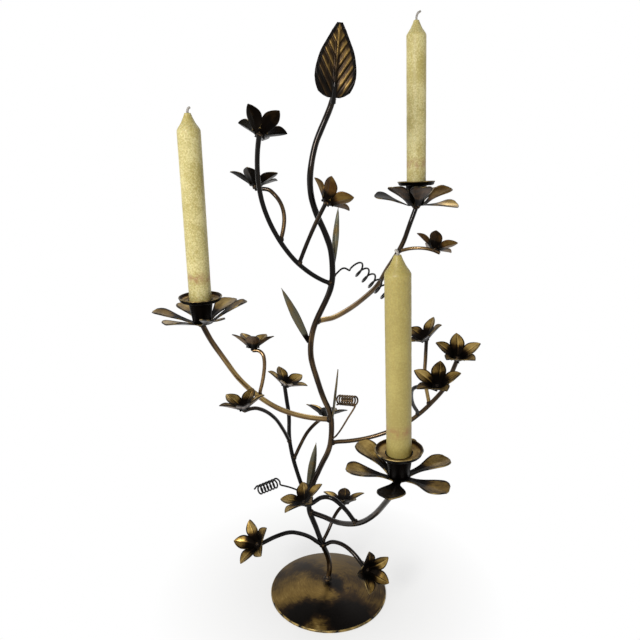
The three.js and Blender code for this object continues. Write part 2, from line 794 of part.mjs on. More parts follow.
function addRod(group, name, curve, diameter, sides, weldedTo) {
  const steps = Math.max(FEWEST_ROD_STEPS, Math.ceil(curve.getLength() / (diameter * ROD_RING_SHARE)));
  const whole = rodAlong(curve, diameter, sides, steps);
  const cutter = rodAlong(curve, diameter + 2 * SEAT_GAP, sides, steps);
  rods.set(name, { curve, cutter });
  addMesh(group, name, without(whole, weldedTo), BRONZE);
}

// The trunk's line starts below the crown of the dish, which trims its foot.
function trunkCurve() {
  const foot = placeOf(TRUNK_FOOT_SHARE).setZ(BASE_CROWN_HEIGHT - TRUNK_ROD);
  return curveThrough([foot, ...TRUNK_ROUTE_SHARES.map(placeOf)]);
}

function addArm(tree, arm) {
  const trunk = rods.get("trunk");
  const start = trunk.curve.getPointAt(arm.joinShare);
  const curve = curveThrough([start, ...arm.routeShares.map(placeOf)]);
  addRod(tree, `arm_rod_${arm.side}`, curve, ARM_ROD, THICK_ROD_SIDES, trunk.cutter);
  const axis = directionOf(arm.facing);
  const holder = new THREE.Group();
  holder.position.copy(curve.getPointAt(1))
    .addScaledVector(axis, seatHeight(curve, ARM_ROD, axis, COLLAR_HUB_RADIUS, 1));
  holder.quaternion.copy(facingTurn(arm.facing));
  const turned = arm.facing[0] + 90;
  const petals = arm.petals.map(([azimuth, ...bends]) => [azimuth - turned, ...bends]);
  const socketFloor = COLLAR_SHEET + SEAT_GAP;
  const panHeight = socketFloor + SOCKET_HEIGHT - PAN_SHEET;
  const candleFoot = socketFloor + SOCKET_WALL + SEAT_GAP;
  const wickFoot = candleFoot + CANDLE_LENGTH - WICK_SEAT_DEPTH + SEAT_GAP;
  addMesh(holder, `petal_collar_${arm.side}`, petalSheet(petals, COLLAR_FORM), PETAL_BRONZE);
  addMesh(holder, `candle_socket_${arm.side}`, candleSocket(), BRONZE).position.z = socketFloor;
  addMesh(holder, `drip_pan_${arm.side}`, dripPan(), BRONZE).position.z = panHeight;
  addMesh(holder, `candle_${arm.side}`, candle(), WAX).position.z = candleFoot;
  const burntWick = wick(arm.wickBend - turned, arm.wickShare);
  addMesh(holder, `wick_${arm.side}`, burntWick, WICK_COTTON).position.z = wickFoot;
  tree.add(holder);
}

function addStem(tree, stem, number) {
  const parent = rods.get(stem.on);
  const start = parent.curve.getPointAt(stem.joinShare);
  const curve = curveThrough([start, ...stem.routeShares.map(placeOf)]);
  addRod(tree, `stem_rod_${number}`, curve, stem.rod, THIN_ROD_SIDES, parent.cutter);
  const axis = directionOf(stem.facing);
  const petals = [];
  for (let i = 0; i < FLOWER_PETALS; i++) petals.push([stem.spin + (i / FLOWER_PETALS) * 360, stem.rise]);
  const flower = addMesh(tree, `flower_${number}`, petalSheet(petals, FLOWER_FORM), PETAL_BRONZE);
  const seatShare = stem.flowerShare ?? 1;
  flower.position.copy(curve.getPointAt(seatShare))
    .addScaledVector(axis, seatHeight(curve, stem.rod, axis, FLOWER_HUB_RADIUS, seatShare));
  flower.quaternion.copy(facingTurn(stem.facing));
}

function addTendril(tree, tendril, number) {
  const parent = rods.get(tendril.on);
  const points = tendrilPoints(tendril, parent.curve.getPointAt(tendril.joinShare));
  console.log(`tendril_${number}: least gap to itself ${leastGap(points, TENDRIL_WIRE).toFixed(2)} mm`);
  addMesh(tree, `tendril_${number}`, without(wireThrough(points, TENDRIL_WIRE), parent.cutter), BRONZE);
}

function addBlade(tree, blade, number) {
  const trunk = rods.get("trunk");
  const root = trunk.curve.getPointAt(blade.joinShare);
  const along = new THREE.Vector3().subVectors(placeOf(blade.tipShare), root);
  const crease = blade.width * BLADE_CREASE_SHARE;
  const geometry = leafSheet(along.length(), blade.width, BLADE_ROW_SHARES, crease, BLADE_SHEET, true);
  geometry.applyQuaternion(leafTurn(along, blade.turn)).translate(...root);
  addMesh(tree, `blade_leaf_${number}`, without(geometry, trunk.cutter), PETAL_BRONZE);
}

function addTopLeaf(tree) {
  const { curve } = rods.get("trunk");
  const end = curve.getPointAt(1);
  const along = placeOf(LEAF_TIP_SHARE).sub(end).setY(0);
  const leaf = addMesh(tree, "top_leaf", topLeaf(), PETAL_BRONZE);
  leaf.quaternion.copy(leafTurn(along, 0));
  leaf.position.copy(end);
  leaf.position.y -= TRUNK_ROD / 2 + SEAT_GAP + LEAF_SHEET;
}

function twoDigits(number) {
  return String(number).padStart(2, "0");
}

const candelabra = new THREE.Group();
const tree = new THREE.Group();
candelabra.add(tree);
addMesh(candelabra, "base_dish", baseDish(), BRONZE);
addRod(tree, "trunk", trunkCurve(), TRUNK_ROD, THICK_ROD_SIDES, dishCutter());
ARMS.forEach((arm) => addArm(tree, arm));
STEMS.forEach((stem, i) => addStem(tree, stem, twoDigits(i + 1)));
TENDRILS.forEach((tendril, i) => addTendril(tree, tendril, twoDigits(i + 1)));
BLADES.forEach((blade, i) => addBlade(tree, blade, twoDigits(i + 1)));
addTopLeaf(tree);

// The origin is on the floor under the middle of the whole object's box.
const middle = new THREE.Box3().setFromObject(candelabra, true).getCenter(new THREE.Vector3());
candelabra.position.set(-middle.x, -middle.y, 0);

export default candelabra;
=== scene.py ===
"""A wrought steel table candelabra with a bronze patina, petal collars and three taper candles.

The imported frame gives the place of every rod, sheet and candle. Each piece is drawn over its node
with the smooth surfaces, the welds and the finish of the real one. Everything is in metres, +Z up,
and the photograph's viewer stands on the -Y side.
"""

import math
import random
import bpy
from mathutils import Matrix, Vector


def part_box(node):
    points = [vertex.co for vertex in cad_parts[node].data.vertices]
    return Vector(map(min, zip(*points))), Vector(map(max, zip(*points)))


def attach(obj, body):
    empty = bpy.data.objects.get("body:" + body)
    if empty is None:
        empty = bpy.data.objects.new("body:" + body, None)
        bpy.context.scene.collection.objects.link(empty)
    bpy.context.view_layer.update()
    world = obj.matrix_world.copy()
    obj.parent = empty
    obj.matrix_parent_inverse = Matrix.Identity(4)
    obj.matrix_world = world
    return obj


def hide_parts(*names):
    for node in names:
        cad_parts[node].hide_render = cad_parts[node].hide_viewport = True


bl_info = {
    "name": "Flowering Candelabra",
    "version": (1, 0, 0),
    "blender": (4, 5, 0),
    "location": "3D View > Sidebar > Candelabra",
    "description": "Draws a bronzed steel candelabra with flowers, tendrils and taper candles",
    "category": "Add Mesh",
}

from collections import namedtuple
from functools import partial

import bpy
from mathutils import Matrix, Vector, geometry, noise

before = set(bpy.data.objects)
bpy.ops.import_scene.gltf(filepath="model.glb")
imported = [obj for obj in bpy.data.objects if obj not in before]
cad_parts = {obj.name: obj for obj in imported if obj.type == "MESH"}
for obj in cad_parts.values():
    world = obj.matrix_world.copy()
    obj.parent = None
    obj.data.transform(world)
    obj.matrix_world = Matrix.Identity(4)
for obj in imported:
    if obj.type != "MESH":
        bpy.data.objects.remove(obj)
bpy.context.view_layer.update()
MM = 0.001
HOLDERS = ("left", "right", "front")
RODS = sorted(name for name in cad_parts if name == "trunk" or "_rod_" in name)
TENDRILS = sorted(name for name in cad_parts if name.startswith("tendril_"))
FLOWERS = sorted(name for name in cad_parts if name.startswith("flower_"))
BLADES = sorted(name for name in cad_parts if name.startswith("blade_leaf_"))

# The rod that each one is welded to, where that isn't the trunk
GROWS_FROM = {
    "stem_rod_02": "stem_rod_01",
    "stem_rod_03": "stem_rod_01",
    "stem_rod_04": "arm_rod_right",
    "stem_rod_06": "stem_rod_05",
    "stem_rod_07": "stem_rod_05",
    "stem_rod_09": "stem_rod_08",
    "stem_rod_10": "stem_rod_08",
    "stem_rod_11": "arm_rod_left",
    "stem_rod_15": "arm_rod_front",
    "tendril_03": "stem_rod_08",
}

# Outlines: share of the length, and share of the full width there
FLOWER_OUTLINE = [
    (0, 0.42), (0.1, 0.62), (0.2, 0.8), (0.32, 0.93), (0.44, 0.99), (0.54, 1), (0.67, 0.88), (0.8, 0.63),
    (0.91, 0.34), (1, 0.03),
]
COLLAR_OUTLINE = [
    (0, 0.31), (0.15, 0.29), (0.3, 0.38), (0.45, 0.6), (0.6, 0.85), (0.74, 1), (0.86, 0.92), (0.94, 0.68),
    (1, 0.14),
]
LEAF_OUTLINE = [
    (0, 0.3), (0.025, 0.52), (0.08, 0.78), (0.2, 0.95), (0.34, 1), (0.5, 0.92), (0.63, 0.79), (0.77, 0.56),
    (0.9, 0.34), (0.97, 0.2), (1, 0.14),
]
BLADE_OUTLINE = [(0, 0.45), (0.2, 0.8), (0.5, 1), (0.75, 0.7), (0.9, 0.36), (1, 0.03)]
# A candle's hollowed cone: share of its height, and share of the way from the tip's width to the candle's
CONE_SHARES = [
    (-0.03, 0.985), (0.03, 0.94), (0.1, 0.86), (0.2, 0.74), (0.32, 0.58), (0.45, 0.43), (0.6, 0.29),
    (0.75, 0.16), (0.88, 0.06), (0.96, 0.01),
]
# Beads of weld under a flower and a collar, and the drop of weld in a flower: radius and height from the
# sheet, in millimetres
FLOWER_BEAD = [(0.2, -3.4), (1.82, -3), (2.6, -1.6), (2.73, -0.3), (2.34, 0.2), (0.2, 0.3)]
COLLAR_BEAD = [(0.3, -4.2), (3.3, -3.6), (4.4, -2), (5.28, -0.5), (5.28, 0.2), (0.3, 0.3)]
FLOWER_DROP = [(2.3, 0), (2.1, 0.5), (1.5, 0.95), (0.7, 1.2), (0.05, 1.25)]

# Darker and lighter patches on the dish: how far right of the dish's middle and behind it each one
# is and its radius, in millimetres, and how much lighter it is
DISH_PATCHES = [
    (5, 3, 11, -0.3), (11, -8, 11, -0.3), (-38, -46, 24, -0.42), (-14, -36, 18, -0.26), (24, -52, 34, -0.6),
    (-14, -61, 15, 0.26), (-27, 31, 20, -0.2), (-12, 14, 13, -0.16), (-41, -12, 30, 0.14),
    (-8, -22, 20, 0.1), (48, 5, 45, -0.12), (-58, 18, 25, -0.14),
]
# How much bronze wax is left on each rod, from 0 for none to 1, at even steps from its root to its end
ROD_TONES = {
    "trunk": (0.6, 0.16, 0.16, 0.5, 0.55, 0.5, 0.16, 0.2, 0.28, 0.34),
    "arm_rod_front": (0.25, 0.4, 0.5),
    "arm_rod_left": (0.7, 0.8, 0.8, 0.4),
    "arm_rod_right": (0.75, 0.6, 0.4, 0.22),
    "stem_rod_01": (0.15,),
    "stem_rod_02": (0.6, 0.5, 0.15),
    "stem_rod_03": (0.35,),
    "stem_rod_04": (0.6,),
    "stem_rod_05": (0.5,),
    "stem_rod_06": (0.8, 0.75, 0.2),
    "stem_rod_07": (0.12,),
    "stem_rod_08": (0.12,),
    "stem_rod_09": (0.3,),
    "stem_rod_10": (0.4,),
    "stem_rod_11": (0.6,),
    "stem_rod_12": (0.15,),
    "stem_rod_13": (0.3,),
    "stem_rod_14": (0.3,),
    "stem_rod_15": (0.12,),
    "tendril_01": (0.12,),
    "tendril_02": (0.55,),
    "tendril_03": (0.12,),
}
# How much lighter or darker each petal of a collar or flower is painted, counted round its axis: painted
# shade on petals turned away from the light, painted light on those turned to it
PETAL_LIGHT_AND_SHADE = {
    "flower_04": (0.05, 0.04, -0.04, -0.15, 0.05),
    "flower_13": (-0.1, -0.06, 0, -0.22, -0.24),
    "flower_14": (0, -0.17, 0, -0.05, -0.05),
    "petal_collar_front": (0.06, -0.02, -0.22, -0.04, 0, 0),
    "petal_collar_left": (0, -0.06, 0.06, 0, -0.1, 0.04),
    "petal_collar_right": (0, -0.35, -0.16, -0.1, 0.06, 0.04),
}
# The flowers and collars whose undersides were waxed as well
WAXED_BACKS = ("flower_03", "flower_04", "flower_05", "flower_08", "flower_09", "flower_11",
               "petal_collar_right")
# Each lamp's place from the dish's middle and its width in metres, and its power in watts
LAMPS = {
    "key_lamp": ((-0.7, -1.35, 1.05), 0.4, 22),
    "low_lamp": ((-1.4, -0.5, 0.4), 0.5, 3),
    "back_lamp": ((0.3, 1.2, 1.5), 0.5, 4),
}

# The shape of the petals of one sheet. cup is how far their edges stand up over half their width, curl how
# much steeper they start than they end, and rib the depth of the line pressed along them.
PetalShape = namedtuple("PetalShape", "outline hub wide cup curl rib")


# Reading the frame


def middle_of(places):
    places = list(places)
    return sum(places, Vector()) / len(places)


def corners_of(node):
    """A node's corners, joined where its faces were split, its faces, and each corner's neighbours."""
    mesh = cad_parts[node].data
    numbers, corners, joined = {}, [], []
    for vertex in mesh.vertices:
        key = tuple(round(value, 7) for value in vertex.co)
        if key not in numbers:
            numbers[key] = len(corners)
            corners.append(vertex.co.copy())
        joined.append(numbers[key])
    faces = [[joined[i] for i in polygon.vertices] for polygon in mesh.polygons]
    beside = [set() for _ in corners]
    for face in faces:
        for corner in face:
            beside[corner].update(other for other in face if other != corner)
    return corners, faces, beside


def flat_patches(corners, faces):
    """The corners of each flat patch of joined faces."""
    same_way = 0.999999
    normals = [geometry.normal([corners[i] for i in face]) for face in faces]
    touching = {}
    for number, face in enumerate(faces):
        for edge in zip(face, face[1:] + face[:1]):
            touching.setdefault(frozenset(edge), []).append(number)
    left = set(range(len(faces)))
    while left:
        start = left.pop()
        patch, queue = {start}, [start]
        while queue:
            face = faces[queue.pop()]
            for edge in zip(face, face[1:] + face[:1]):
                for other in touching[frozenset(edge)]:
                    if other in left and normals[other].dot(normals[start]) > same_way:
                        left.remove(other)
                        patch.add(other)
                        queue.append(other)
        yield {corner for number in patch for corner in faces[number]}


def sawn_end(corners, faces):
    """The corners round the highest flat round end of a rod."""
    fewest_corners, most_uneven = 5, 0.03
    ends = []
    for patch in flat_patches(corners, faces):
        centre = middle_of(corners[i] for i in patch)
        reach = [(corners[i] - centre).length for i in patch]
        if len(patch) >= fewest_corners and max(reach) - min(reach) < most_uneven * max(reach):
            ends.append((centre.z, sorted(patch)))
    if not ends:
        raise RuntimeError("a rod has no flat round end to be read from")
    return set(max(ends)[1])


def rod_rings(node):
    """The middles of a rod's rings from its root to its sawn end, and its radius."""
    corners, faces, beside = corners_of(node)
    ring = sawn_end(corners, faces)
    end = middle_of(corners[i] for i in ring)
    radius = sum((corners[i] - end).length for i in ring) / len(ring)
    sides, seen, line = len(ring), set(ring), []
    while len(ring) == sides:
        line.insert(0, middle_of(corners[i] for i in ring))
        ring = {other for i in ring for other in beside[i]} - seen
        seen |= ring
    return line, radius


def on_curve(before, start, end, after, t):
    """The point at t from 0 to 1 on a smooth curve from start to end, given the points beyond them."""
    return 0.5 * (2 * start + (end - before) * t + (2 * before - 5 * start + 4 * end - after) * t ** 2
                  + (3 * start - before - 3 * end + after) * t ** 3)


def smooth_line(points, step):
    """Points about a step apart on a smooth curve through the given ones."""
    line = []
    for i in range(len(points) - 1):
        start, end = points[i], points[i + 1]
        before = points[i - 1] if i else 2 * start - end
        after = points[i + 2] if i + 2 < len(points) else 2 * end - start
        count = max(1, round((end - start).length / step))
        line += [on_curve(before, start, end, after, k / count) for k in range(count)]
    line.append(points[-1].copy())
    return line


def rod_line(node, step):
    """A rod's smooth middle line, run on at its root to the middle of the rod that it is welded to."""
    rings, radius = rod_rings(node)
    if node != "trunk":
        parent, _ = rod_line(GROWS_FROM.get(node, "trunk"), step)
        back = (rings[0] - rings[1]).normalized()
        run_on = [rings[0] + back * step * k / 2 for k in range(20)]
        rings.insert(0, min(parent, key=lambda place: min((place - other).length for other in run_on)))
    return smooth_line(rings, step), radius


def round_off(line, radii, length, radius):
    """Adds a narrower ring a little past the end of a rod's line, which rounds its sawn edge."""
    line.append(line[-1] + (line[-1] - line[-2]).normalized() * length)
    radii.append(radius)


def sheet_layout(node):
    """Where a sheet of petals is: hub centre, axis, thickness, and the place of each petal's tip."""
    corners, _, beside = corners_of(node)
    # The hub's middle, on its upper side and its underside, has the most neighbours
    one, other_side = sorted(range(len(corners)), key=lambda i: -len(beside[i]))[:2]
    hub = middle_of((corners[one], corners[other_side]))
    tips = []
    for i, place in enumerate(corners):
        reach = (place - hub).length
        if all((corners[other] - hub).length < reach for other in beside[i]):
            partner = min(beside[i], key=lambda other: (corners[other] - place).length)
            tips.append((place + corners[partner]) / 2)
    across = corners[one] - corners[other_side]
    axis = across.normalized()
    if sum((tip - hub).dot(axis) for tip in tips) < 0:
        axis = -axis
    return hub, axis, across.length, tips


def standing(origin, axis):
    """The place of a turned piece: its middle on origin and its own +Z along axis."""
    return Matrix.Translation(origin) @ axis.to_track_quat("Z", "Y").to_matrix().to_4x4()


def span_along(node, place):
    """The lowest and highest point of a node along a place's +Z, and its widest reach round it."""
    local = [place.inverted() @ corner for corner in corners_of(node)[0]]
    heights = [corner.z for corner in local]
    return min(heights), max(heights), max(corner.xy.length for corner in local)


def reach_at(node, place, height):
    """The widest reach round a place's +Z of a node's corners at a height."""
    local = [place.inverted() @ corner for corner in corners_of(node)[0]]
    return max(corner.xy.length for corner in local if abs(corner.z - height) < 0.2 * MM)


def holder_place(side):
    """The place of a candle holder: the underside of its collar's hub, with +Z up its candle."""
    hub, axis, sheet, _ = sheet_layout(f"petal_collar_{side}")
    return standing(hub - axis * sheet / 2, axis)


def leaf_place(node):
    """The place of a leaf, with its root at the middle, +Y along it and +Z where it faces, and its size."""
    corners, _, _ = corners_of(node)
    trunk, _ = rod_line("trunk", 2 * MM)
    root = min(corners, key=lambda corner: min((corner - place).length for place in trunk))
    far = max((corner - root).length for corner in corners)
    # The corners within 1.5 mm of the tip and within 6 mm of the root give the way that it grows
    tip = middle_of(corner for corner in corners if (corner - root).length > far - 1.5 * MM)
    start = middle_of(corner for corner in corners if (corner - root).length < 6 * MM)
    along = (tip - start).normalized()

    def off_line(corner):
        return corner - start - along * (corner - start).dot(along)

    edge = max(corners, key=lambda corner: off_line(corner).length)
    other = max(corners, key=lambda corner: (off_line(corner) - off_line(edge)).length)
    span = off_line(edge) - off_line(other)
    across = span.normalized()
    facing = across.cross(along)
    if facing.y > 0:
        across, facing = -across, -facing
    reach = [(corner - start).dot(along) for corner in corners]
    turned = Matrix((across, along, facing)).transposed().to_4x4()
    return Matrix.Translation(start + along * min(reach)) @ turned, max(reach) - min(reach), span.length


# Drawing skins


def in_metres(profile):
    return [(radius * MM, height * MM) for radius, height in profile]


def value_at(values, share):
    """The value at a share of the way through evenly spaced values."""
    place = share * (len(values) - 1)
    i = min(int(place), len(values) - 1)
    return values[i] + (values[min(i + 1, len(values) - 1)] - values[i]) * (place - i)


def width_at(outline, share):
    """The width of an outline at a share of its length, on a smooth curve through its points."""
    narrowest = 0.02
    for i in range(len(outline) - 1):
        (from_share, start), (to_share, end) = outline[i], outline[i + 1]
        if share <= to_share:
            before = outline[i - 1][1] if i else 2 * start - end
            after = outline[i + 2][1] if i + 2 < len(outline) else end
            t = (share - from_share) / (to_share - from_share)
            return max(on_curve(before, start, end, after, t), narrowest)
    return outline[-1][1]


class Skin:
    """The corners, faces, pattern places, tones of wax and of painted light and shade, and finishes of a
    piece while it is drawn.
    """

    def __init__(self):
        self.corners, self.faces, self.places, self.tones, self.finishes = [], [], [], [], []

    def grid(self, rows, along=None, wrapped=False, finish=0, tones=None):
        """Joins rows of corners into faces. Each pattern place is (share across, value along).

        tones has a row of values for each row of corners: how much wax is on the metal there, and on petals
        and the top leaf also their painted light and shade.
        """
        first, columns = len(self.corners), len(rows[0])
        spans = columns if wrapped else columns - 1
        along = along or [i / (len(rows) - 1) for i in range(len(rows))]
        tones = tones or [[0] * columns] * len(rows)
        for row in rows:
            self.corners.extend(row)
        for r in range(len(rows) - 1):
            for c in range(spans):
                after = (c + 1) % columns
                here, there = first + r * columns + c, first + r * columns + after
                left, right = c / spans, (c + 1) / spans
                self.faces.append((here, there, there + columns, here + columns))
                self.places.append([(left, along[r]), (right, along[r]),
                                    (right, along[r + 1]), (left, along[r + 1])])
                self.tones.append([tones[r][c], tones[r][after], tones[r + 1][after], tones[r + 1][c]])
                self.finishes.append(finish)
        return first

    def face(self, corners, place=(0, 0)):
        """One bare face, whose whole pattern is at one place."""
        self.faces.append(tuple(corners))
        self.places.append([place] * len(corners))
        self.tones.append([0] * len(corners))
        self.finishes.append(0)

    def tube(self, line, radii, sides, tones=(0,)):
        """A round rod along a line, closed at both ends, with rings that turn as little as they can."""
        turns = [2 * math.pi * k / sides for k in range(sides)]
        rows, along, side = [], [0], None
        for i, point in enumerate(line):
            ahead = (line[min(i + 1, len(line) - 1)] - line[max(i - 1, 0)]).normalized()
            side = ahead.orthogonal() if side is None else side
            side = (side - ahead * side.dot(ahead)).normalized()
            other = ahead.cross(side)
            rows.append([point + (side * math.cos(turn) + other * math.sin(turn)) * radii[i]
                         for turn in turns])
            along.append(along[-1] + (point - line[max(i - 1, 0)]).length)
        waxed = [[value_at(tones, reach / along[-1])] * sides for reach in along[1:]]
        first = self.grid(rows, along[1:], wrapped=True, tones=waxed)
        last = first + (len(rows) - 1) * sides
        self.face([first + k for k in reversed(range(sides))])
        self.face([last + k for k in range(sides)], (0, along[-1]))

    def turned(self, profile, place, segments, finish=0, ripple=0.0, seed=0.0, unit=1.0):
        """A profile of (radius, height) turned about a place's +Z. Ripple dents it like hand work.

        unit is the length along the profile that counts as 1 in the pattern.
        """
        # Dents are about 4 mm apart
        dents_in_a_metre = 260
        rows, along = [], [0]
        for i, (radius, height) in enumerate(profile):
            row = []
            for k in range(segments):
                turn = 2 * math.pi * k / segments
                corner = Vector((radius * math.cos(turn), radius * math.sin(turn), height))
                if ripple:
                    dent = noise.noise(corner * dents_in_a_metre + Vector((seed, seed, seed)))
                    corner += Vector((corner.x, corner.y, 0)).normalized() * dent * ripple
                row.append(place @ corner)
            rows.append(row)
            before = profile[max(i - 1, 0)]
            along.append(along[-1] + math.hypot(radius - before[0], height - before[1]) / unit)
        return self.grid(rows, along[1:], wrapped=True, finish=finish)


def draw_piece(name, skin, finishes, nodes=(), body="frame", bend=math.radians(38)):
    """Makes one object of a skin, smooth but for creases where its faces bend by more than bend.

    finishes are names in FINISHES, and nodes are the CAD nodes that the object stands for.
    """
    mesh = bpy.data.meshes.new(name)
    mesh.from_pydata([tuple(corner) for corner in skin.corners], [], skin.faces)
    pattern = mesh.uv_layers.new(name="pattern")
    for loop, place in zip(pattern.data, (place for face in skin.places for place in face)):
        loop.uv = place
    waxed = mesh.uv_layers.new(name="tone")
    for loop, tone in zip(waxed.data, (tone for face in skin.tones for tone in face)):
        loop.uv = (tone, 0)
    for finish in finishes:
        mesh.materials.append(finish_named(finish))
    mesh.polygons.foreach_set("material_index", skin.finishes)
    mesh.polygons.foreach_set("use_smooth", [True] * len(mesh.polygons))
    mesh.validate()
    mesh.set_sharp_from_angle(angle=bend)
    piece = bpy.data.objects.new(name, mesh)
    bpy.context.scene.collection.objects.link(piece)
    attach(piece, body)
    if nodes:
        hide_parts(*nodes)
    return piece


def thicken(piece, sheet):
    """Sheet metal under the drawn face. Its underside and its cut edge have finishes of their own."""
    solid = piece.modifiers.new("sheet", "SOLIDIFY")
    solid.thickness = sheet
    solid.offset = -1
    solid.use_even_offset = True
    solid.material_offset = 1
    solid.material_offset_rim = 2


# Finishes


def linear(hex_colour):
    """An sRGB hex colour as linear red, green and blue."""
    parts = [int(hex_colour[i:i + 2], 16) / 255 for i in (1, 3, 5)]
    return tuple(c / 12.92 if c <= 0.04045 else ((c + 0.055) / 1.055) ** 2.4 for c in parts)


def add_node(tree, kind, inputs=None, **settings):
    """Adds a node with its settings. An input is a value, or the output that feeds it.

    Inputs go by name or by number: a map range's inputs 1 to 4 are the range from and the range to.
    """
    made = tree.nodes.new(kind)
    for name, value in settings.items():
        setattr(made, name, value)
    for name, value in (inputs or {}).items():
        if isinstance(value, bpy.types.NodeSocket):
            tree.links.new(value, made.inputs[name])
        else:
            made.inputs[name].default_value = value
    return made


def new_finish(name):
    """An empty material and its node tree."""
    material = bpy.data.materials.new(name)
    material.use_nodes = True
    material.node_tree.nodes.clear()
    return material, material.node_tree


def colour_of(name):
    return tuple(getattr(bpy.context.scene.candelabra_colours, name)) + (1.0,)


def stops(ramp, colours):
    """Sets a colour ramp's stops from a colour's name at each position, and gives its colour."""
    elements = ramp.color_ramp.elements
    while len(elements) < len(colours):
        elements.new(1)
    for element, (position, name) in zip(elements, colours.items()):
        element.position, element.color = position, colour_of(name)
    return ramp.outputs[0]


def wax_and_painted_light(tree):
    """How much wax is on the metal, with the painted light and shade of petals and the top leaf, as the
    piece's skin has it.
    """
    waxed = add_node(tree, "ShaderNodeUVMap", uv_map="tone")
    return add_node(tree, "ShaderNodeSeparateXYZ", {0: waxed.outputs[0]}).outputs[0]


def finish_surface(tree, values, height, strength, depth):
    """Ends a material: the shader with its values, and a pattern's height as a bump of some depth."""
    bump = add_node(tree, "ShaderNodeBump", {"Height": height, "Strength": strength, "Distance": depth})
    shader = add_node(tree, "ShaderNodeBsdfPrincipled", {**values, "Normal": bump.outputs[0]})
    add_node(tree, "ShaderNodeOutputMaterial", {"Surface": shader.outputs[0]})


def bronzed_rod(name):
    """Mild steel rod, blackened, waxed with bronze in long streaks that also stand in for highlight lines as
    painted highlight, painted lighter on its upper side, and handled to a low gloss.
    """
    material, tree = new_finish(name)
    place = add_node(tree, "ShaderNodeTexCoord")
    split = add_node(tree, "ShaderNodeSeparateXYZ", {0: place.outputs["UV"]})
    turn = add_node(tree, "ShaderNodeMath", {0: split.outputs[0], 1: 2 * math.pi}, operation="MULTIPLY")
    across = add_node(tree, "ShaderNodeMath", {0: turn.outputs[0]}, operation="COSINE")
    away = add_node(tree, "ShaderNodeMath", {0: turn.outputs[0]}, operation="SINE")
    # A streak is about 1.2 mm wide and 60 mm long: 1 unit across is a rod's radius, 1 unit along 40 mm. The
    # streaks are dry-brushed wax and also painted highlight lines along the rod.
    along = add_node(tree, "ShaderNodeMath", {0: split.outputs[1], 1: 1 / (40 * MM)}, operation="MULTIPLY")
    streak_place = add_node(tree, "ShaderNodeCombineXYZ",
                            {0: across.outputs[0], 1: away.outputs[0], 2: along.outputs[0]})
    wax_and_highlight_streaks = add_node(tree, "ShaderNodeTexNoise",
                       {"Vector": streak_place.outputs[0], "Scale": 2.0, "Detail": 3, "Roughness": 0.55})
    # Clouds of thicker and thinner wax, about 40 mm across
    clouds = add_node(tree, "ShaderNodeTexNoise",
                      {"Vector": place.outputs["Object"], "Scale": 1 / (40 * MM), "Detail": 3})
    # The upper side of a rod is painted a little lighter: painted light from above
    facing = add_node(tree, "ShaderNodeSeparateXYZ", {0: place.outputs["Normal"]})
    amount = wax_and_painted_light(tree)
    for pattern, weight in ((facing.outputs[2], 0.1), (clouds.outputs[0], 0.5), (wax_and_highlight_streaks.outputs[0], 0.6)):
        amount = add_node(tree, "ShaderNodeMath", {0: pattern, 1: weight, 2: amount},
                          operation="MULTIPLY_ADD").outputs[0]
    rubbed = add_node(tree, "ShaderNodeMath", {0: amount, 1: 0.55}, operation="SUBTRACT")
    ramp = add_node(tree, "ShaderNodeValToRGB", {0: rubbed.outputs[0]})
    colour = stops(ramp, {0.26: "patina_black", 0.48: "patina_brown", 0.74: "rubbed_copper",
                          1.0: "rubbed_gold"})
    # Fine scale and brush marks, 0.8 mm apart
    grain = add_node(tree, "ShaderNodeTexNoise",
                     {"Vector": place.outputs["Object"], "Scale": 1 / (0.8 * MM), "Detail": 2})
    rough = add_node(tree, "ShaderNodeMapRange", {0: grain.outputs[0], 1: 0.3, 2: 0.7, 3: 0.2, 4: 0.3})
    finish_surface(
        tree, {"Base Color": colour, "Metallic": 0.9, "Roughness": rough.outputs[0],
               "Specular IOR Level": 0.05, "Coat Weight": 0.25, "Coat Roughness": 0.08},
        grain.outputs[0], strength=0.06, depth=0.1 * MM)
    return material


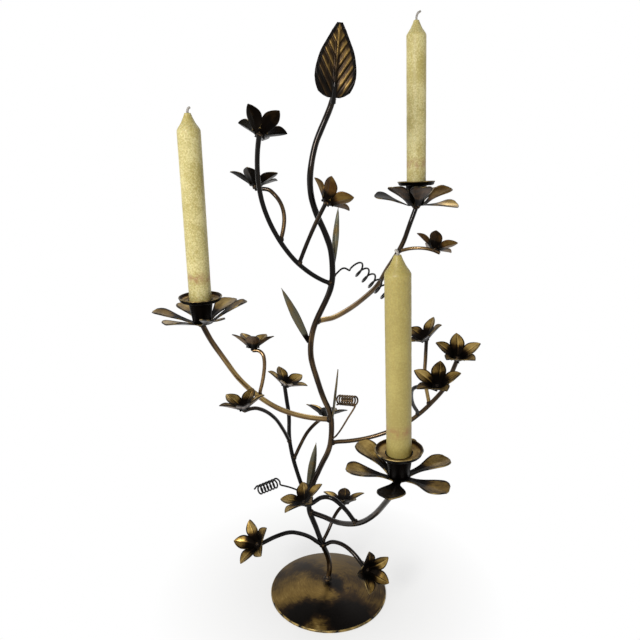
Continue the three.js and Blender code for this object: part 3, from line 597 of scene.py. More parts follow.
def bronzed_sheet(name, colours, root, rim, line=0.0):
    """Sheet steel, pressed, blackened and brushed with bronze wax, which its root and its rim have lost. Its
    root is darkened further as painted shade in the hub.

    colours go from bare metal to the thickest wax. root is the share of its length that stays dark, as
    painted shade in the hub, rim how dark its rim is, and line how dark the pressed line along its middle is
    painted, as painted shade in its groove, beside a painted highlight.
    """
    material, tree = new_finish(name)
    place = add_node(tree, "ShaderNodeTexCoord")
    split = add_node(tree, "ShaderNodeSeparateXYZ", {0: place.outputs["UV"]})
    # Brush marks run out along a petal: about 0.7 mm apart over its width and 12 mm long
    stretched = add_node(tree, "ShaderNodeMapping", {"Vector": place.outputs["UV"], "Scale": (20, 2.5, 1)})
    brushed = add_node(tree, "ShaderNodeTexNoise",
                       {"Vector": stretched.outputs[0], "Scale": 1.0, "Detail": 5, "Roughness": 0.65})
    # Blotches where the wax was rubbed off, about 9 mm across
    blotches = add_node(tree, "ShaderNodeTexNoise",
                        {"Vector": place.outputs["Object"], "Scale": 1 / (9 * MM), "Detail": 4,
                         "Roughness": 0.55})
    # The wax thickens outwards from the root, and the root is darkened as painted shade in the hub
    painted_hub_shade = add_node(tree, "ShaderNodeMapRange",
                        {0: split.outputs[1], 1: 0.5 * root, 2: 1.6 * root + 0.1, 3: -0.32, 4: 0.08},
                        interpolation_type="SMOOTHSTEP")
    amount = painted_hub_shade.outputs[0]
    for pattern, weight in ((blotches.outputs[0], 0.5), (brushed.outputs[0], 0.25)):
        amount = add_node(tree, "ShaderNodeMath", {0: pattern, 1: weight, 2: amount},
                          operation="MULTIPLY_ADD").outputs[0]
    off_middle = add_node(tree, "ShaderNodeMath", {0: split.outputs[0], 1: 0.5}, operation="SUBTRACT")
    from_middle = add_node(tree, "ShaderNodeMath", {0: off_middle.outputs[0]}, operation="ABSOLUTE")
    # The pressed line is painted dark, as painted shade in its groove. The metal beside it, to one side, is
    # painted bright, as a painted highlight on the groove's edge.
    beside = add_node(tree, "ShaderNodeMath", {0: off_middle.outputs[0], 1: 0.075, 2: 0.045},
                      operation="COMPARE")
    pressed = add_node(tree, "ShaderNodeMapRange",
                       {0: from_middle.outputs[0], 1: 0.015, 2: 0.05, 3: -line, 4: 0.0})
    groove_shade_and_highlight = add_node(tree, "ShaderNodeMath",
                     {0: beside.outputs[0], 1: 0.7 * line, 2: pressed.outputs[0]}, operation="MULTIPLY_ADD")
    # The rim, over the outermost tenth on each side
    edge = add_node(tree, "ShaderNodeMapRange",
                    {0: from_middle.outputs[0], 1: 0.4, 2: 0.48, 3: 0.0, 4: -rim})
    for more in (wax_and_painted_light(tree), groove_shade_and_highlight.outputs[0], edge.outputs[0]):
        amount = add_node(tree, "ShaderNodeMath", {0: amount, 1: more}, operation="ADD").outputs[0]
    ramp = add_node(tree, "ShaderNodeValToRGB", {0: amount})
    wax_amounts = (0.15, 0.28, 0.42, 0.62)
    colour = stops(ramp, dict(zip(wax_amounts, colours)))
    # Waxed metal is smoother than bare scale
    rough = add_node(tree, "ShaderNodeMapRange", {0: amount, 1: 0.1, 2: 0.6, 3: 0.5, 4: 0.28})
    finish_surface(
        tree, {"Base Color": colour, "Metallic": 0.8, "Roughness": rough.outputs[0],
               "Specular IOR Level": 0.05},
        brushed.outputs[0], strength=0.12, depth=0.15 * MM)
    return material


def pleated_leaf(name):
    """The top leaf's sheet: lighter on the crowns of its pleats as painted highlight, darker in the valleys
    as painted shade, and black at the edge.
    """
    material, tree = new_finish(name)
    place = add_node(tree, "ShaderNodeTexCoord")
    # Brush marks along the pleats: fine across, 10 mm long
    stretched = add_node(tree, "ShaderNodeMapping", {"Vector": place.outputs["UV"], "Scale": (26, 7, 1)})
    brushed = add_node(tree, "ShaderNodeTexNoise",
                       {"Vector": stretched.outputs[0], "Scale": 1.0, "Detail": 4, "Roughness": 0.6})
    # Blotches where the wax was rubbed off, about 12 mm across
    blotches = add_node(tree, "ShaderNodeTexNoise",
                        {"Vector": place.outputs["Object"], "Scale": 1 / (12 * MM), "Detail": 3})
    amount = wax_and_painted_light(tree)
    for pattern in (blotches, brushed):
        amount = add_node(tree, "ShaderNodeMath", {0: pattern.outputs[0], 1: 0.3, 2: amount},
                          operation="MULTIPLY_ADD").outputs[0]
    ramp = add_node(tree, "ShaderNodeValToRGB", {0: amount})
    colour = stops(ramp, {0.36: "patina_black", 0.5: "patina_brown", 0.74: "olive_gold",
                          0.98: "rubbed_gold"})
    finish_surface(
        tree, {"Base Color": colour, "Metallic": 0.7, "Roughness": 0.34, "Specular IOR Level": 0.2},
        brushed.outputs[0], strength=0.2, depth=0.15 * MM)
    return material


def rubbed_edge(name, black_up_to, bright_from):
    """The cut edge of sheet steel, where handling has rubbed the black off here and there."""
    material, tree = new_finish(name)
    place = add_node(tree, "ShaderNodeTexCoord")
    # Rubbed places and fine nicks in them, about 8 mm apart
    nicks = add_node(tree, "ShaderNodeTexNoise",
                     {"Vector": place.outputs["Object"], "Scale": 1 / (8 * MM), "Detail": 3})
    ramp = add_node(tree, "ShaderNodeValToRGB", {0: nicks.outputs[0]})
    colour = stops(ramp, {black_up_to: "patina_black", bright_from: "rubbed_gold"})
    shader = add_node(tree, "ShaderNodeBsdfPrincipled",
                      {"Base Color": colour, "Metallic": 0.6, "Roughness": 0.4, "Specular IOR Level": 0.3})
    add_node(tree, "ShaderNodeOutputMaterial", {"Surface": shader.outputs[0]})
    return material


def bronzed_dish(name):
    """The spun base dish: bronze wax brushed round over black in soft clouds, and sooty round its weld."""
    material, tree = new_finish(name)
    low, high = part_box("base_dish")
    rim = (high.x - low.x) / 2
    place = add_node(tree, "ShaderNodeTexCoord")
    middle = ((low.x + high.x) / 2, (low.y + high.y) / 2, 0)
    centred = add_node(tree, "ShaderNodeVectorMath", {0: place.outputs["Object"], 1: middle},
                       operation="SUBTRACT")
    flat = add_node(tree, "ShaderNodeVectorMath", {0: centred.outputs[0], 1: (1, 1, 0)},
                    operation="MULTIPLY")
    # The edges of the patches wander by up to 9 mm
    wander = add_node(tree, "ShaderNodeTexNoise",
                      {"Vector": flat.outputs[0], "Scale": 1 / (14 * MM), "Detail": 4, "Roughness": 0.6})
    shift = add_node(tree, "ShaderNodeVectorMath", {0: wander.outputs["Color"], 1: (0.5, 0.5, 0.5)},
                     operation="SUBTRACT")
    pushed = add_node(tree, "ShaderNodeVectorMath",
                      {0: shift.outputs[0], 1: (30 * MM, 30 * MM, 0), 2: flat.outputs[0]},
                      operation="MULTIPLY_ADD")
    # Clouds of thicker and thinner wax, about 30 mm across
    clouds = add_node(tree, "ShaderNodeTexNoise",
                      {"Vector": flat.outputs[0], "Scale": 1 / (30 * MM), "Detail": 4, "Roughness": 0.5})
    amount = add_node(tree, "ShaderNodeMath", {0: clouds.outputs[0], 1: 0.3, 2: 0.43},
                      operation="MULTIPLY_ADD").outputs[0]
    for x, y, radius, lighter in DISH_PATCHES:
        away = add_node(tree, "ShaderNodeVectorMath",
                        {0: pushed.outputs[0], 1: (x * MM, y * MM, 0)}, operation="DISTANCE")
        # A patch fades out a third of its radius further on
        patch = add_node(tree, "ShaderNodeMapRange",
                         {0: away.outputs["Value"], 1: 0.0, 2: 1.35 * radius * MM, 3: lighter, 4: 0.0},
                         interpolation_type="SMOOTHSTEP")
        amount = add_node(tree, "ShaderNodeMath", {0: amount, 1: patch.outputs[0]},
                          operation="ADD").outputs[0]
    # Brush marks run round the dish, 0.7 mm apart and about 14 mm long
    reach = add_node(tree, "ShaderNodeVectorMath", {0: flat.outputs[0]}, operation="LENGTH")
    round_it = add_node(tree, "ShaderNodeVectorMath", {0: flat.outputs[0]}, operation="NORMALIZE")
    turned = add_node(tree, "ShaderNodeSeparateXYZ", {0: round_it.outputs[0]})
    ways = ((turned.outputs[0], rim / (14 * MM)), (turned.outputs[1], rim / (14 * MM)),
            (reach.outputs["Value"], 1 / (0.7 * MM)))
    scaled = [add_node(tree, "ShaderNodeMath", {0: part, 1: marks}, operation="MULTIPLY").outputs[0]
              for part, marks in ways]
    mark_place = add_node(tree, "ShaderNodeCombineXYZ", dict(enumerate(scaled)))
    marks = add_node(tree, "ShaderNodeTexNoise",
                     {"Vector": mark_place.outputs[0], "Scale": 1.0, "Detail": 3, "Roughness": 0.6})
    mixed = add_node(tree, "ShaderNodeMath", {0: marks.outputs[0], 1: 0.3, 2: amount},
                     operation="MULTIPLY_ADD")
    ramp = add_node(tree, "ShaderNodeValToRGB", {0: mixed.outputs[0]})
    colour = stops(ramp, {0.42: "patina_black", 0.6: "patina_brown", 0.84: "olive_gold",
                          1.0: "rubbed_gold"})
    rough = add_node(tree, "ShaderNodeMapRange", {0: marks.outputs[0], 1: 0.3, 2: 0.7, 3: 0.34, 4: 0.5})
    finish_surface(
        tree, {"Base Color": colour, "Metallic": 0.75, "Roughness": rough.outputs[0],
               "Specular IOR Level": 0.15},
        marks.outputs[0], strength=0.2, depth=0.12 * MM)
    return material


def weld_metal(name):
    """A weld bead under the patina: rippled, scaly and nearly black with a little copper."""
    material, tree = new_finish(name)
    place = add_node(tree, "ShaderNodeTexCoord")
    # Scale flakes, 1.5 mm across
    scale = add_node(tree, "ShaderNodeTexNoise",
                     {"Vector": place.outputs["Object"], "Scale": 1 / (1.5 * MM), "Detail": 3})
    ramp = add_node(tree, "ShaderNodeValToRGB", {0: scale.outputs[0]})
    colour = stops(ramp, {0.42: "patina_black", 0.56: "patina_brown", 0.7: "rubbed_copper"})
    finish_surface(
        tree, {"Base Color": colour, "Metallic": 0.6, "Roughness": 0.5, "Specular IOR Level": 0.3},
        scale.outputs[0], strength=0.4, depth=0.3 * MM)
    return material


def frosted_wax(name, body_colour, fleck_colour):
    """Cast candle wax that cooled fast: soft, a little see-through, with frosty crystals under its skin."""
    material, tree = new_finish(name)
    place = add_node(tree, "ShaderNodeTexCoord")
    # Crystals 1.6 mm across, and slow clouds 20 mm across
    crystals = add_node(tree, "ShaderNodeTexNoise",
                        {"Vector": place.outputs["Object"], "Scale": 1 / (1.6 * MM), "Detail": 3,
                         "Roughness": 0.75})
    clouds = add_node(tree, "ShaderNodeTexNoise",
                      {"Vector": place.outputs["Object"], "Scale": 1 / (20 * MM), "Detail": 2})
    mixed = add_node(tree, "ShaderNodeMath",
                     {0: clouds.outputs[0], 1: 0.5, 2: crystals.outputs[0]}, operation="MULTIPLY_ADD")
    ramp = add_node(tree, "ShaderNodeValToRGB", {0: mixed.outputs[0]})
    colour = stops(ramp, {0.64: body_colour, 0.9: fleck_colour})
    # A worn band of reddish dye in blotches 5 mm across, 52 mm along the skin from the foot's middle
    split = add_node(tree, "ShaderNodeSeparateXYZ", {0: place.outputs["UV"]})
    off_band = add_node(tree, "ShaderNodeMath", {0: split.outputs[1], 1: 52 * MM}, operation="SUBTRACT")
    from_band = add_node(tree, "ShaderNodeMath", {0: off_band.outputs[0]}, operation="ABSOLUTE")
    in_band = add_node(tree, "ShaderNodeMapRange",
                       {0: from_band.outputs[0], 1: 1.5 * MM, 2: 7 * MM, 3: 1.0, 4: 0.0})
    specks = add_node(tree, "ShaderNodeTexNoise",
                      {"Vector": place.outputs["Object"], "Scale": 1 / (5 * MM), "Detail": 2,
                       "Roughness": 0.5})
    worn = add_node(tree, "ShaderNodeMapRange", {0: specks.outputs[0], 1: 0.35, 2: 0.7, 3: 0.0, 4: 0.6})
    stain = add_node(tree, "ShaderNodeMath", {0: in_band.outputs[0], 1: worn.outputs[0]},
                     operation="MULTIPLY")
    stained = add_node(tree, "ShaderNodeMix",
                       {"Factor": stain.outputs[0], 6: colour, 7: colour_of("worn_dye")}, data_type="RGBA")
    finish_surface(
        tree, {"Base Color": stained.outputs[2], "Roughness": 0.46, "IOR": 1.44, "Subsurface Weight": 0.2,
               "Subsurface Scale": 2 * MM, "Subsurface Radius": (1.0, 0.7, 0.35)},
        crystals.outputs[0], strength=0.15, depth=0.2 * MM)
    return material


def braided_cotton(name):
    """Waxed cotton wick, a flat braid of thick threads."""
    material, tree = new_finish(name)
    place = add_node(tree, "ShaderNodeTexCoord")
    # Threads slant round the wick, 0.6 mm apart
    threads = add_node(tree, "ShaderNodeTexWave",
                       {"Vector": place.outputs["Object"], "Scale": 1 / (2 * 0.6 * MM * math.pi),
                        "Distortion": 1.5, "Detail": 1}, bands_direction="DIAGONAL")
    # The wick is darker between its threads: painted shade in the grooves of the braid
    ramp = add_node(tree, "ShaderNodeValToRGB", {0: threads.outputs["Fac"]})
    colour = stops(ramp, {0.1: "cotton_shade", 0.6: "cotton"})
    finish_surface(tree, {"Base Color": colour, "Roughness": 0.85}, threads.outputs["Fac"],
                   strength=0.5, depth=0.2 * MM)
    return material


# The colours of brushed sheets, from bare metal to the thickest wax
WAXED_BRONZE = ("patina_black", "patina_brown", "olive_gold", "rubbed_gold")
DARK_BACK = ("patina_black", "patina_black", "patina_black", "patina_brown")
WAXED_BACK = ("patina_black", "patina_brown", "warm_brown", "olive_gold")
PAN_FACE = ("patina_brown", "warm_brown", "olive_gold", "rubbed_gold")
BLADE_FACE = ("patina_black", "blade_green", "blade_green", "olive_gold")
# Each finish's maker, which is given its name
FINISHES = {
    "bronzed_steel_rod": bronzed_rod,
    "bronzed_steel_dish": bronzed_dish,
    # The rims of the dish and the pans are rubbed bright here and there, which also serves as a painted
    # highlight along their lips
    "rubbed_steel_rim": partial(rubbed_edge, black_up_to=0.36, bright_from=0.72),
    "dark_cut_edge": partial(rubbed_edge, black_up_to=0.46, bright_from=0.9),
    "blackened_weld": weld_metal,
    "brushed_petal_face": partial(bronzed_sheet, colours=WAXED_BRONZE, root=0.3, rim=0.3, line=0.16),
    "brushed_collar_face": partial(bronzed_sheet, colours=WAXED_BRONZE, root=0.36, rim=0.2),
    "pleated_leaf_face": pleated_leaf,
    "dark_petal_back": partial(bronzed_sheet, colours=DARK_BACK, root=0.3, rim=0.1),
    "waxed_petal_back": partial(bronzed_sheet, colours=WAXED_BACK, root=0.2, rim=0.1),
    "brushed_pan_face": partial(bronzed_sheet, colours=PAN_FACE, root=0.2, rim=0.0),
    "green_black_blade": partial(bronzed_sheet, colours=BLADE_FACE, root=0.1, rim=0.1),
    "frosted_wax": partial(frosted_wax, body_colour="wax", fleck_colour="wax_fleck"),
    # The front candle's wax is the same wax painted darker, as painted shade
    "frosted_wax_deep": partial(frosted_wax, body_colour="wax_deep", fleck_colour="wax"),
    "cotton_wick": braided_cotton,
}


def finish_named(name):
    """A finish, made the first time that it is asked for."""
    return bpy.data.materials.get(name) or FINISHES[name](name)


def sheet_finishes(node, face):
    """The finishes of a sheet's face, its underside, which is waxed on some sheets, and its cut edge."""
    return face, "waxed_petal_back" if node in WAXED_BACKS else "dark_petal_back", "dark_cut_edge"


# Settings


def length_setting(name, description, millimetres):
    return bpy.props.FloatProperty(name=name, description=description, default=millimetres * MM,
                                   min=0, precision=4, subtype="DISTANCE", unit="LENGTH")


def share_setting(name, description, share):
    return bpy.props.FloatProperty(name=name, description=description, default=share,
                                   min=0, max=1, subtype="FACTOR")


def colour_setting(name, description, hex_colour):
    return bpy.props.FloatVectorProperty(name=name, description=description, size=3, min=0, max=1,
                                         default=linear(hex_colour), subtype="COLOR")


class CandelabraSizes(bpy.types.PropertyGroup):
    """The sizes of what the frame leaves plain."""

    rod_step: length_setting("Rod Step", "Distance between the rings of a drawn rod", 2.2)
    rod_sides: bpy.props.IntProperty(
        name="Rod Sides", description="Corners round a drawn rod", default=16, min=6)
    weld_bead: length_setting("Weld Bead", "How far a weld bead stands off its rod", 0.9)
    flower_hub: length_setting("Flower Hub", "Radius of a small flower's flat middle", 4)
    flower_petal: length_setting("Flower Petal Width", "Widest place of a small petal", 14)
    flower_cup: share_setting(
        "Flower Cup", "How far a small petal's edges stand up, over half its width", 0.3)
    flower_curl: share_setting("Flower Curl", "How much steeper a small petal starts than it ends", 0.35)
    collar_hub: length_setting("Collar Hub", "Radius of a petal collar's flat middle", 9.5)
    collar_petal: length_setting("Collar Petal Width", "Widest place of a collar's petal", 24)
    collar_cup: share_setting(
        "Collar Cup", "How far a collar petal's edges stand up, over half its width", 0.2)
    collar_curl: share_setting("Collar Curl", "How much steeper a collar petal starts than it ends", 0.25)
    rib_depth: length_setting("Rib Depth", "Depth of the line pressed along a petal", 0.5)
    leaf_sheet: length_setting("Leaf Sheet", "Thickness of the top leaf", 1.2)
    leaf_bulge: length_setting("Leaf Bulge", "How far the top leaf's middle stands out", 2.4)
    leaf_tab: length_setting("Leaf Tab", "Length of the tab that is welded to the trunk", 5)
    pleat_spacing: length_setting("Pleat Spacing", "Distance between the pleats of the top leaf", 11)
    pleat_depth: length_setting("Pleat Depth", "Depth of the pleats of the top leaf", 1.7)
    leaf_spine: length_setting("Leaf Spine", "Half the width of the trunk's end on the top leaf", 2.6)
    blade_sheet: length_setting("Blade Sheet", "Thickness of a blade leaf", 1.1)
    blade_crease: share_setting(
        "Blade Crease", "How far a blade's middle stands out, over its width", 0.12)
    socket_wall: length_setting("Socket Wall", "Thickness of a candle socket", 1.2)
    pan_sheet: length_setting("Pan Sheet", "Thickness of a drip pan", 1.1)
    dish_sheet: length_setting("Dish Sheet", "Thickness of the base dish", 2)
    candle_cone: length_setting("Candle Cone", "Height of the cone at a candle's top", 15)


class CandelabraColours(bpy.types.PropertyGroup):
    """The colours of the finishes."""

    patina_black: colour_setting("Patina Black", "The blackened steel where no wax was rubbed", "#080503")
    patina_brown: colour_setting("Patina Brown", "Thin bronze wax over black", "#261a0c")
    warm_brown: colour_setting("Warm Brown", "Thin bronze wax in the drip pans", "#493116")
    rubbed_copper: colour_setting("Rubbed Copper", "Bronze wax rubbed thin on the rods", "#6e5636")
    olive_gold: colour_setting("Olive Gold", "Brushed bronze wax on the sheets", "#6e572b")
    rubbed_gold: colour_setting("Rubbed Gold", "The brightest rubbed edges", "#aa9056")
    blade_green: colour_setting("Blade Green", "Green-black wax on the blade leaves", "#565548")
    wax: colour_setting("Wax", "Candle wax", "#a89957")
    # The front candle's wax, painted darker as painted shade
    wax_deep: colour_setting("Deep Wax", "Candle wax of the front candle", "#99894a")
    wax_fleck: colour_setting("Wax Fleck", "Frosty crystals in the wax", "#d2c78f")
    worn_dye: colour_setting("Worn Dye", "A faint reddish band near a candle's foot", "#8f4f3c")
    cotton: colour_setting("Wick Cotton", "The waxed wick", "#a8a299")
    cotton_shade: colour_setting("Wick Shade", "The wick between its threads", "#807b74")
    floor: colour_setting("Floor", "The studio floor", "#f4f3f0")


# Pieces


class CANDELABRA_OT_dish(bpy.types.Operator):
    """Draws the domed base dish on its turned-down rim"""

    bl_idname = "candelabra.dish"
    bl_label = "Base Dish"
    bl_options = {"REGISTER", "UNDO"}

    def execute(self, context):
        sheet = context.scene.candelabra_sizes.dish_sheet
        low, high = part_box("base_dish")
        rim, crown = (high.x - low.x) / 2, high.z - low.z
        place = Matrix.Translation(((low.x + high.x) / 2, (low.y + high.y) / 2, 0))
        local = [place.inverted() @ corner for corner in corners_of("base_dish")[0]]
        edge_height = max(corner.z for corner in local if corner.xy.length > 0.98 * rim)
        foot = min(corner.xy.length for corner in local if corner.z < 0.1 * MM)

        def dome(share, lift):
            return share * rim, edge_height + (crown - edge_height) * (1 - share ** 2) + lift

        # Rings at even steps, from a closed middle to where the dome turns down into its rolled edge
        rings, closed_middle, dome_edge, around = 24, 0.004, 0.985, 120
        shares = [closed_middle] + [i / rings for i in range(1, rings)]
        top = [dome(share, 0) for share in reversed(shares + [dome_edge])]
        edge = [(foot, 0), (rim - 0.5 * MM, 0), (rim, 0.5 * MM), (rim, edge_height * 0.65),
                (rim - 0.3 * MM, edge_height * 0.92), (rim - 0.9 * MM, edge_height * 1.1)]
        under = [dome(share, -sheet) for share in shares[:-1]]
        skin = Skin()
        skin.turned(top, place, around, finish=0)
        skin.turned(edge + top[:1], place, around, finish=1)
        skin.turned(under + edge[:1], place, around, finish=2)
        draw_piece("domed_dish", skin, ("bronzed_steel_dish", "rubbed_steel_rim", "dark_petal_back"),
                   ["base_dish"])
        return {"FINISHED"}


class CANDELABRA_OT_rods(bpy.types.Operator):
    """Draws the trunk, the arms and the stems as smooth round rods"""

    bl_idname = "candelabra.rods"
    bl_label = "Bent Rods"
    bl_options = {"REGISTER", "UNDO"}

    def execute(self, context):
        sizes = context.scene.candelabra_sizes
        for node in RODS:
            line, radius = rod_line(node, sizes.rod_step)
            if node == "trunk":
                # The trunk's root goes through the dish
                line.insert(0, line[0] + (line[0] - line[1]).normalized() * sizes.dish_sheet)
            # Hammering leaves a rod uneven by up to 4%, over about 11 mm
            radii = [radius * (1 + 0.04 * noise.noise(place * 90)) for place in line]
            round_off(line, radii, 0.12 * radius, 0.8 * radius)
            skin = Skin()
            skin.tube(line, radii, sizes.rod_sides, ROD_TONES[node])
            draw_piece(f"bent_{node}", skin, ["bronzed_steel_rod"], [node])
        return {"FINISHED"}


class CANDELABRA_OT_tendrils(bpy.types.Operator):
    """Draws the wound wire tendrils"""

    bl_idname = "candelabra.tendrils"
    bl_label = "Wire Tendrils"
    bl_options = {"REGISTER", "UNDO"}

    def execute(self, context):
        ring_step, sides = 0.9 * MM, 10
        for node in TENDRILS:
            line, radius = rod_line(node, ring_step)
            radii = [radius] * len(line)
            round_off(line, radii, 0.3 * radius, 0.6 * radius)
            skin = Skin()
            skin.tube(line, radii, sides, ROD_TONES[node])
            draw_piece(f"wound_{node}", skin, ["bronzed_steel_rod"], [node])
        return {"FINISHED"}


def rod_bead(radius, parent, wide):
    """A weld bead round a rod's root: it starts in the parent rod, swells, and thins out along the rod."""
    return [(0.5 * radius, 0.3 * parent), (radius + wide, 0.45 * parent), (radius + 0.95 * wide, parent),
            (radius + 0.6 * wide, parent + 0.8 * wide), (radius + 0.2 * wide, parent + 1.7 * wide),
            (0.9 * radius, parent + 2.2 * wide)]


class CANDELABRA_OT_welds(bpy.types.Operator):
    """Draws a weld bead wherever a rod meets the dish, another rod, a flower or a collar"""

    bl_idname = "candelabra.welds"
    bl_label = "Weld Beads"
    bl_options = {"REGISTER", "UNDO"}

    def execute(self, context):
        sizes = context.scene.candelabra_sizes
        # On the dish, whose skin is just above the trunk's root, the bead is wider
        dish_skin, dish_swell = 0.6 * MM, 2.2
        skin = Skin()
        for number, node in enumerate(RODS + TENDRILS):
            line, radius = rod_line(node, sizes.rod_step)
            if node == "trunk":
                profile = rod_bead(radius, dish_skin, sizes.weld_bead * dish_swell)
            else:
                parent = rod_rings(GROWS_FROM.get(node, "trunk"))[1]
                profile = rod_bead(radius, parent, sizes.weld_bead)
            self.bead(skin, profile, standing(line[0], (line[2] - line[0]).normalized()), number)
        for number, node in enumerate(FLOWERS):
            hub, axis, sheet, _ = sheet_layout(node)
            self.bead(skin, in_metres(FLOWER_BEAD), standing(hub - axis * sheet / 2, axis), number + 40)
        for number, side in enumerate(HOLDERS):
            self.bead(skin, in_metres(COLLAR_BEAD), holder_place(side), number + 80)
        draw_piece("weld_beads", skin, ["blackened_weld"])
        return {"FINISHED"}

    def bead(self, skin, profile, place, seed):
        """Adds one lumpy bead, closed at both ends."""
        around = 14
        first = skin.turned(profile, place, around, ripple=0.5 * MM, seed=seed * 7.3)
        last = first + (len(profile) - 1) * around
        skin.face([first + k for k in reversed(range(around))])
        skin.face([last + k for k in range(around)])


def petal_rows(shape, azimuth, rise, turn, length, luck):
    """Rows of corners over one petal's upper face, from the hub to its tip, and their shares of its length.

    azimuth is where it grows from the hub, rise how steeply, and turn how far its tip is twisted.
    """
    out = Vector((math.cos(azimuth), math.sin(azimuth), 0))
    side = Vector((-math.sin(azimuth), math.cos(azimuth), 0))
    steps, columns = 16, 18
    roll, wave = luck.uniform(-0.1, 0.1), luck.uniform(0, 6)
    middle, last, rows, shares = out * shape.hub, 0.0, [], []
    for i in range(steps + 1):
        # The rows lie closer together towards the tip
        share = 1 - (1 - i / steps) ** 1.35
        slope = rise * (1 + shape.curl * (1 - share - last))
        ahead = out * math.cos(slope) + Vector((0, 0, math.sin(slope)))
        lift = ahead.cross(side)
        level = side * math.cos(turn * share) + lift * math.sin(turn * share)
        lift = ahead.cross(level)
        middle = middle + ahead * (share - last) * length
        half = shape.wide * width_at(shape.outline, share) / 2
        row = []
        for c in range(columns + 1):
            across = 1 - 2 * c / columns
            # The edges stand up from a quarter of the way out, the line is pressed in along the middle,
            # and hand work leaves a slight roll and a ripple in the edges
            edge = shape.cup * min(1, share / 0.25) * half * abs(across) ** 1.7
            pressed = -shape.rib * math.exp(-(across / 0.13) ** 2) * math.sin(math.pi * min(1, share * 1.1))
            rolled = roll * share * across * half
            rippled = 0.03 * half * math.sin(wave + 9 * share) * across ** 2 * share
            row.append(middle + level * across * half + lift * (edge + pressed + rolled + rippled))
        rows.append(row)
        shares.append(share)
        last = share
    return rows, shares


def turn_at(corners, tip, azimuth, wide):
    """How far a petal's tip is twisted, read from the outer ones of the corners near it."""
    near, flank, outer = 0.42 * wide, 0.2 * wide, 0.7
    side = Vector((-math.sin(azimuth), math.cos(azimuth), 0))
    close = [corner for corner in corners if (corner - tip).length < near]
    reach = [(corner - tip).dot(side) for corner in close]
    if min(-min(reach), max(reach)) < flank:
        return 0.0
    one = middle_of(corner for corner, out in zip(close, reach) if out > outer * max(reach))
    other = middle_of(corner for corner, out in zip(close, reach) if out < outer * min(reach))
    across = one - other
    return math.atan2(across.z, across.dot(side))


def draw_petals(name, node, shape, face, seed):
    """Draws a hub with its petals from one sheet, laid where the node's own petals are."""
    hub, axis, sheet, tips = sheet_layout(node)
    place = standing(hub, axis)
    luck = random.Random(seed)
    local = sorted((place.inverted() @ tip for tip in tips), key=lambda tip: math.atan2(tip.y, tip.x))
    corners = [place.inverted() @ corner for corner in corners_of(node)[0]]
    # Petals with no painted light and shade of their own differ a little at random
    tones = PETAL_LIGHT_AND_SHADE.get(node) or [0.08 * math.sin(2.1 * k + seed) for k in range(len(local))]
    lift = Vector((0, 0, sheet / 2))
    skin, roots = Skin(), []
    skin.corners.append(place @ lift)
    for tip, tone in zip(local, tones, strict=True):
        azimuth = math.atan2(tip.y, tip.x)
        flat = tip.xy.length - shape.hub
        rise, chord = math.atan2(tip.z, flat), math.hypot(tip.z, flat)
        # A curled petal is longer than the straight way to its tip
        length = chord / (1 - (shape.curl * rise) ** 2 / 6)
        turn = turn_at(corners, tip, azimuth, shape.wide)
        rows, shares = petal_rows(shape, azimuth, rise, turn, length, luck)
        placed = [[place @ (corner + lift) for corner in row] for row in rows]
        first = skin.grid(placed, shares, tones=[[tone] * len(row) for row in rows])
        roots.append([first + k for k in range(len(rows[0]))])
    for i, root in enumerate(roots):
        following = roots[(i + 1) % len(roots)]
        for a, b in zip(root, root[1:]):
            skin.face((0, b, a))
        skin.face((0, root[0], following[-1]))
    petals = draw_piece(name, skin, sheet_finishes(node, face), [node])
    thicken(petals, sheet)


class CANDELABRA_OT_flowers(bpy.types.Operator):
    """Draws the small flowers, each pressed from one sheet with a drop of weld in its middle"""

    bl_idname = "candelabra.flowers"
    bl_label = "Small Flowers"
    bl_options = {"REGISTER", "UNDO"}

    def execute(self, context):
        sizes = context.scene.candelabra_sizes
        shape = PetalShape(FLOWER_OUTLINE, sizes.flower_hub, sizes.flower_petal, sizes.flower_cup,
                           sizes.flower_curl, sizes.rib_depth)
        drops = Skin()
        for number, node in enumerate(FLOWERS):
            draw_petals(f"pressed_{node}", node, shape, "brushed_petal_face", 100 + number)
            hub, axis, sheet, _ = sheet_layout(node)
            place = standing(hub + axis * sheet * 0.45, axis)
            drops.turned(in_metres(FLOWER_DROP), place, 12, ripple=0.3 * MM, seed=number)
        draw_piece("flower_weld_drops", drops, ["blackened_weld"])
        return {"FINISHED"}


class CANDELABRA_OT_collars(bpy.types.Operator):
    """Draws the petal collars under the drip pans"""

    bl_idname = "candelabra.collars"
    bl_label = "Petal Collars"
    bl_options = {"REGISTER", "UNDO"}

    def execute(self, context):
        sizes = context.scene.candelabra_sizes
        # The line is pressed less deep in the thicker sheet
        shape = PetalShape(COLLAR_OUTLINE, sizes.collar_hub, sizes.collar_petal, sizes.collar_cup,
                           sizes.collar_curl, sizes.rib_depth * 0.6)
        for number, side in enumerate(HOLDERS):
            draw_petals(f"pressed_collar_{side}", f"petal_collar_{side}", shape, "brushed_collar_face",
                        200 + number)
        return {"FINISHED"}


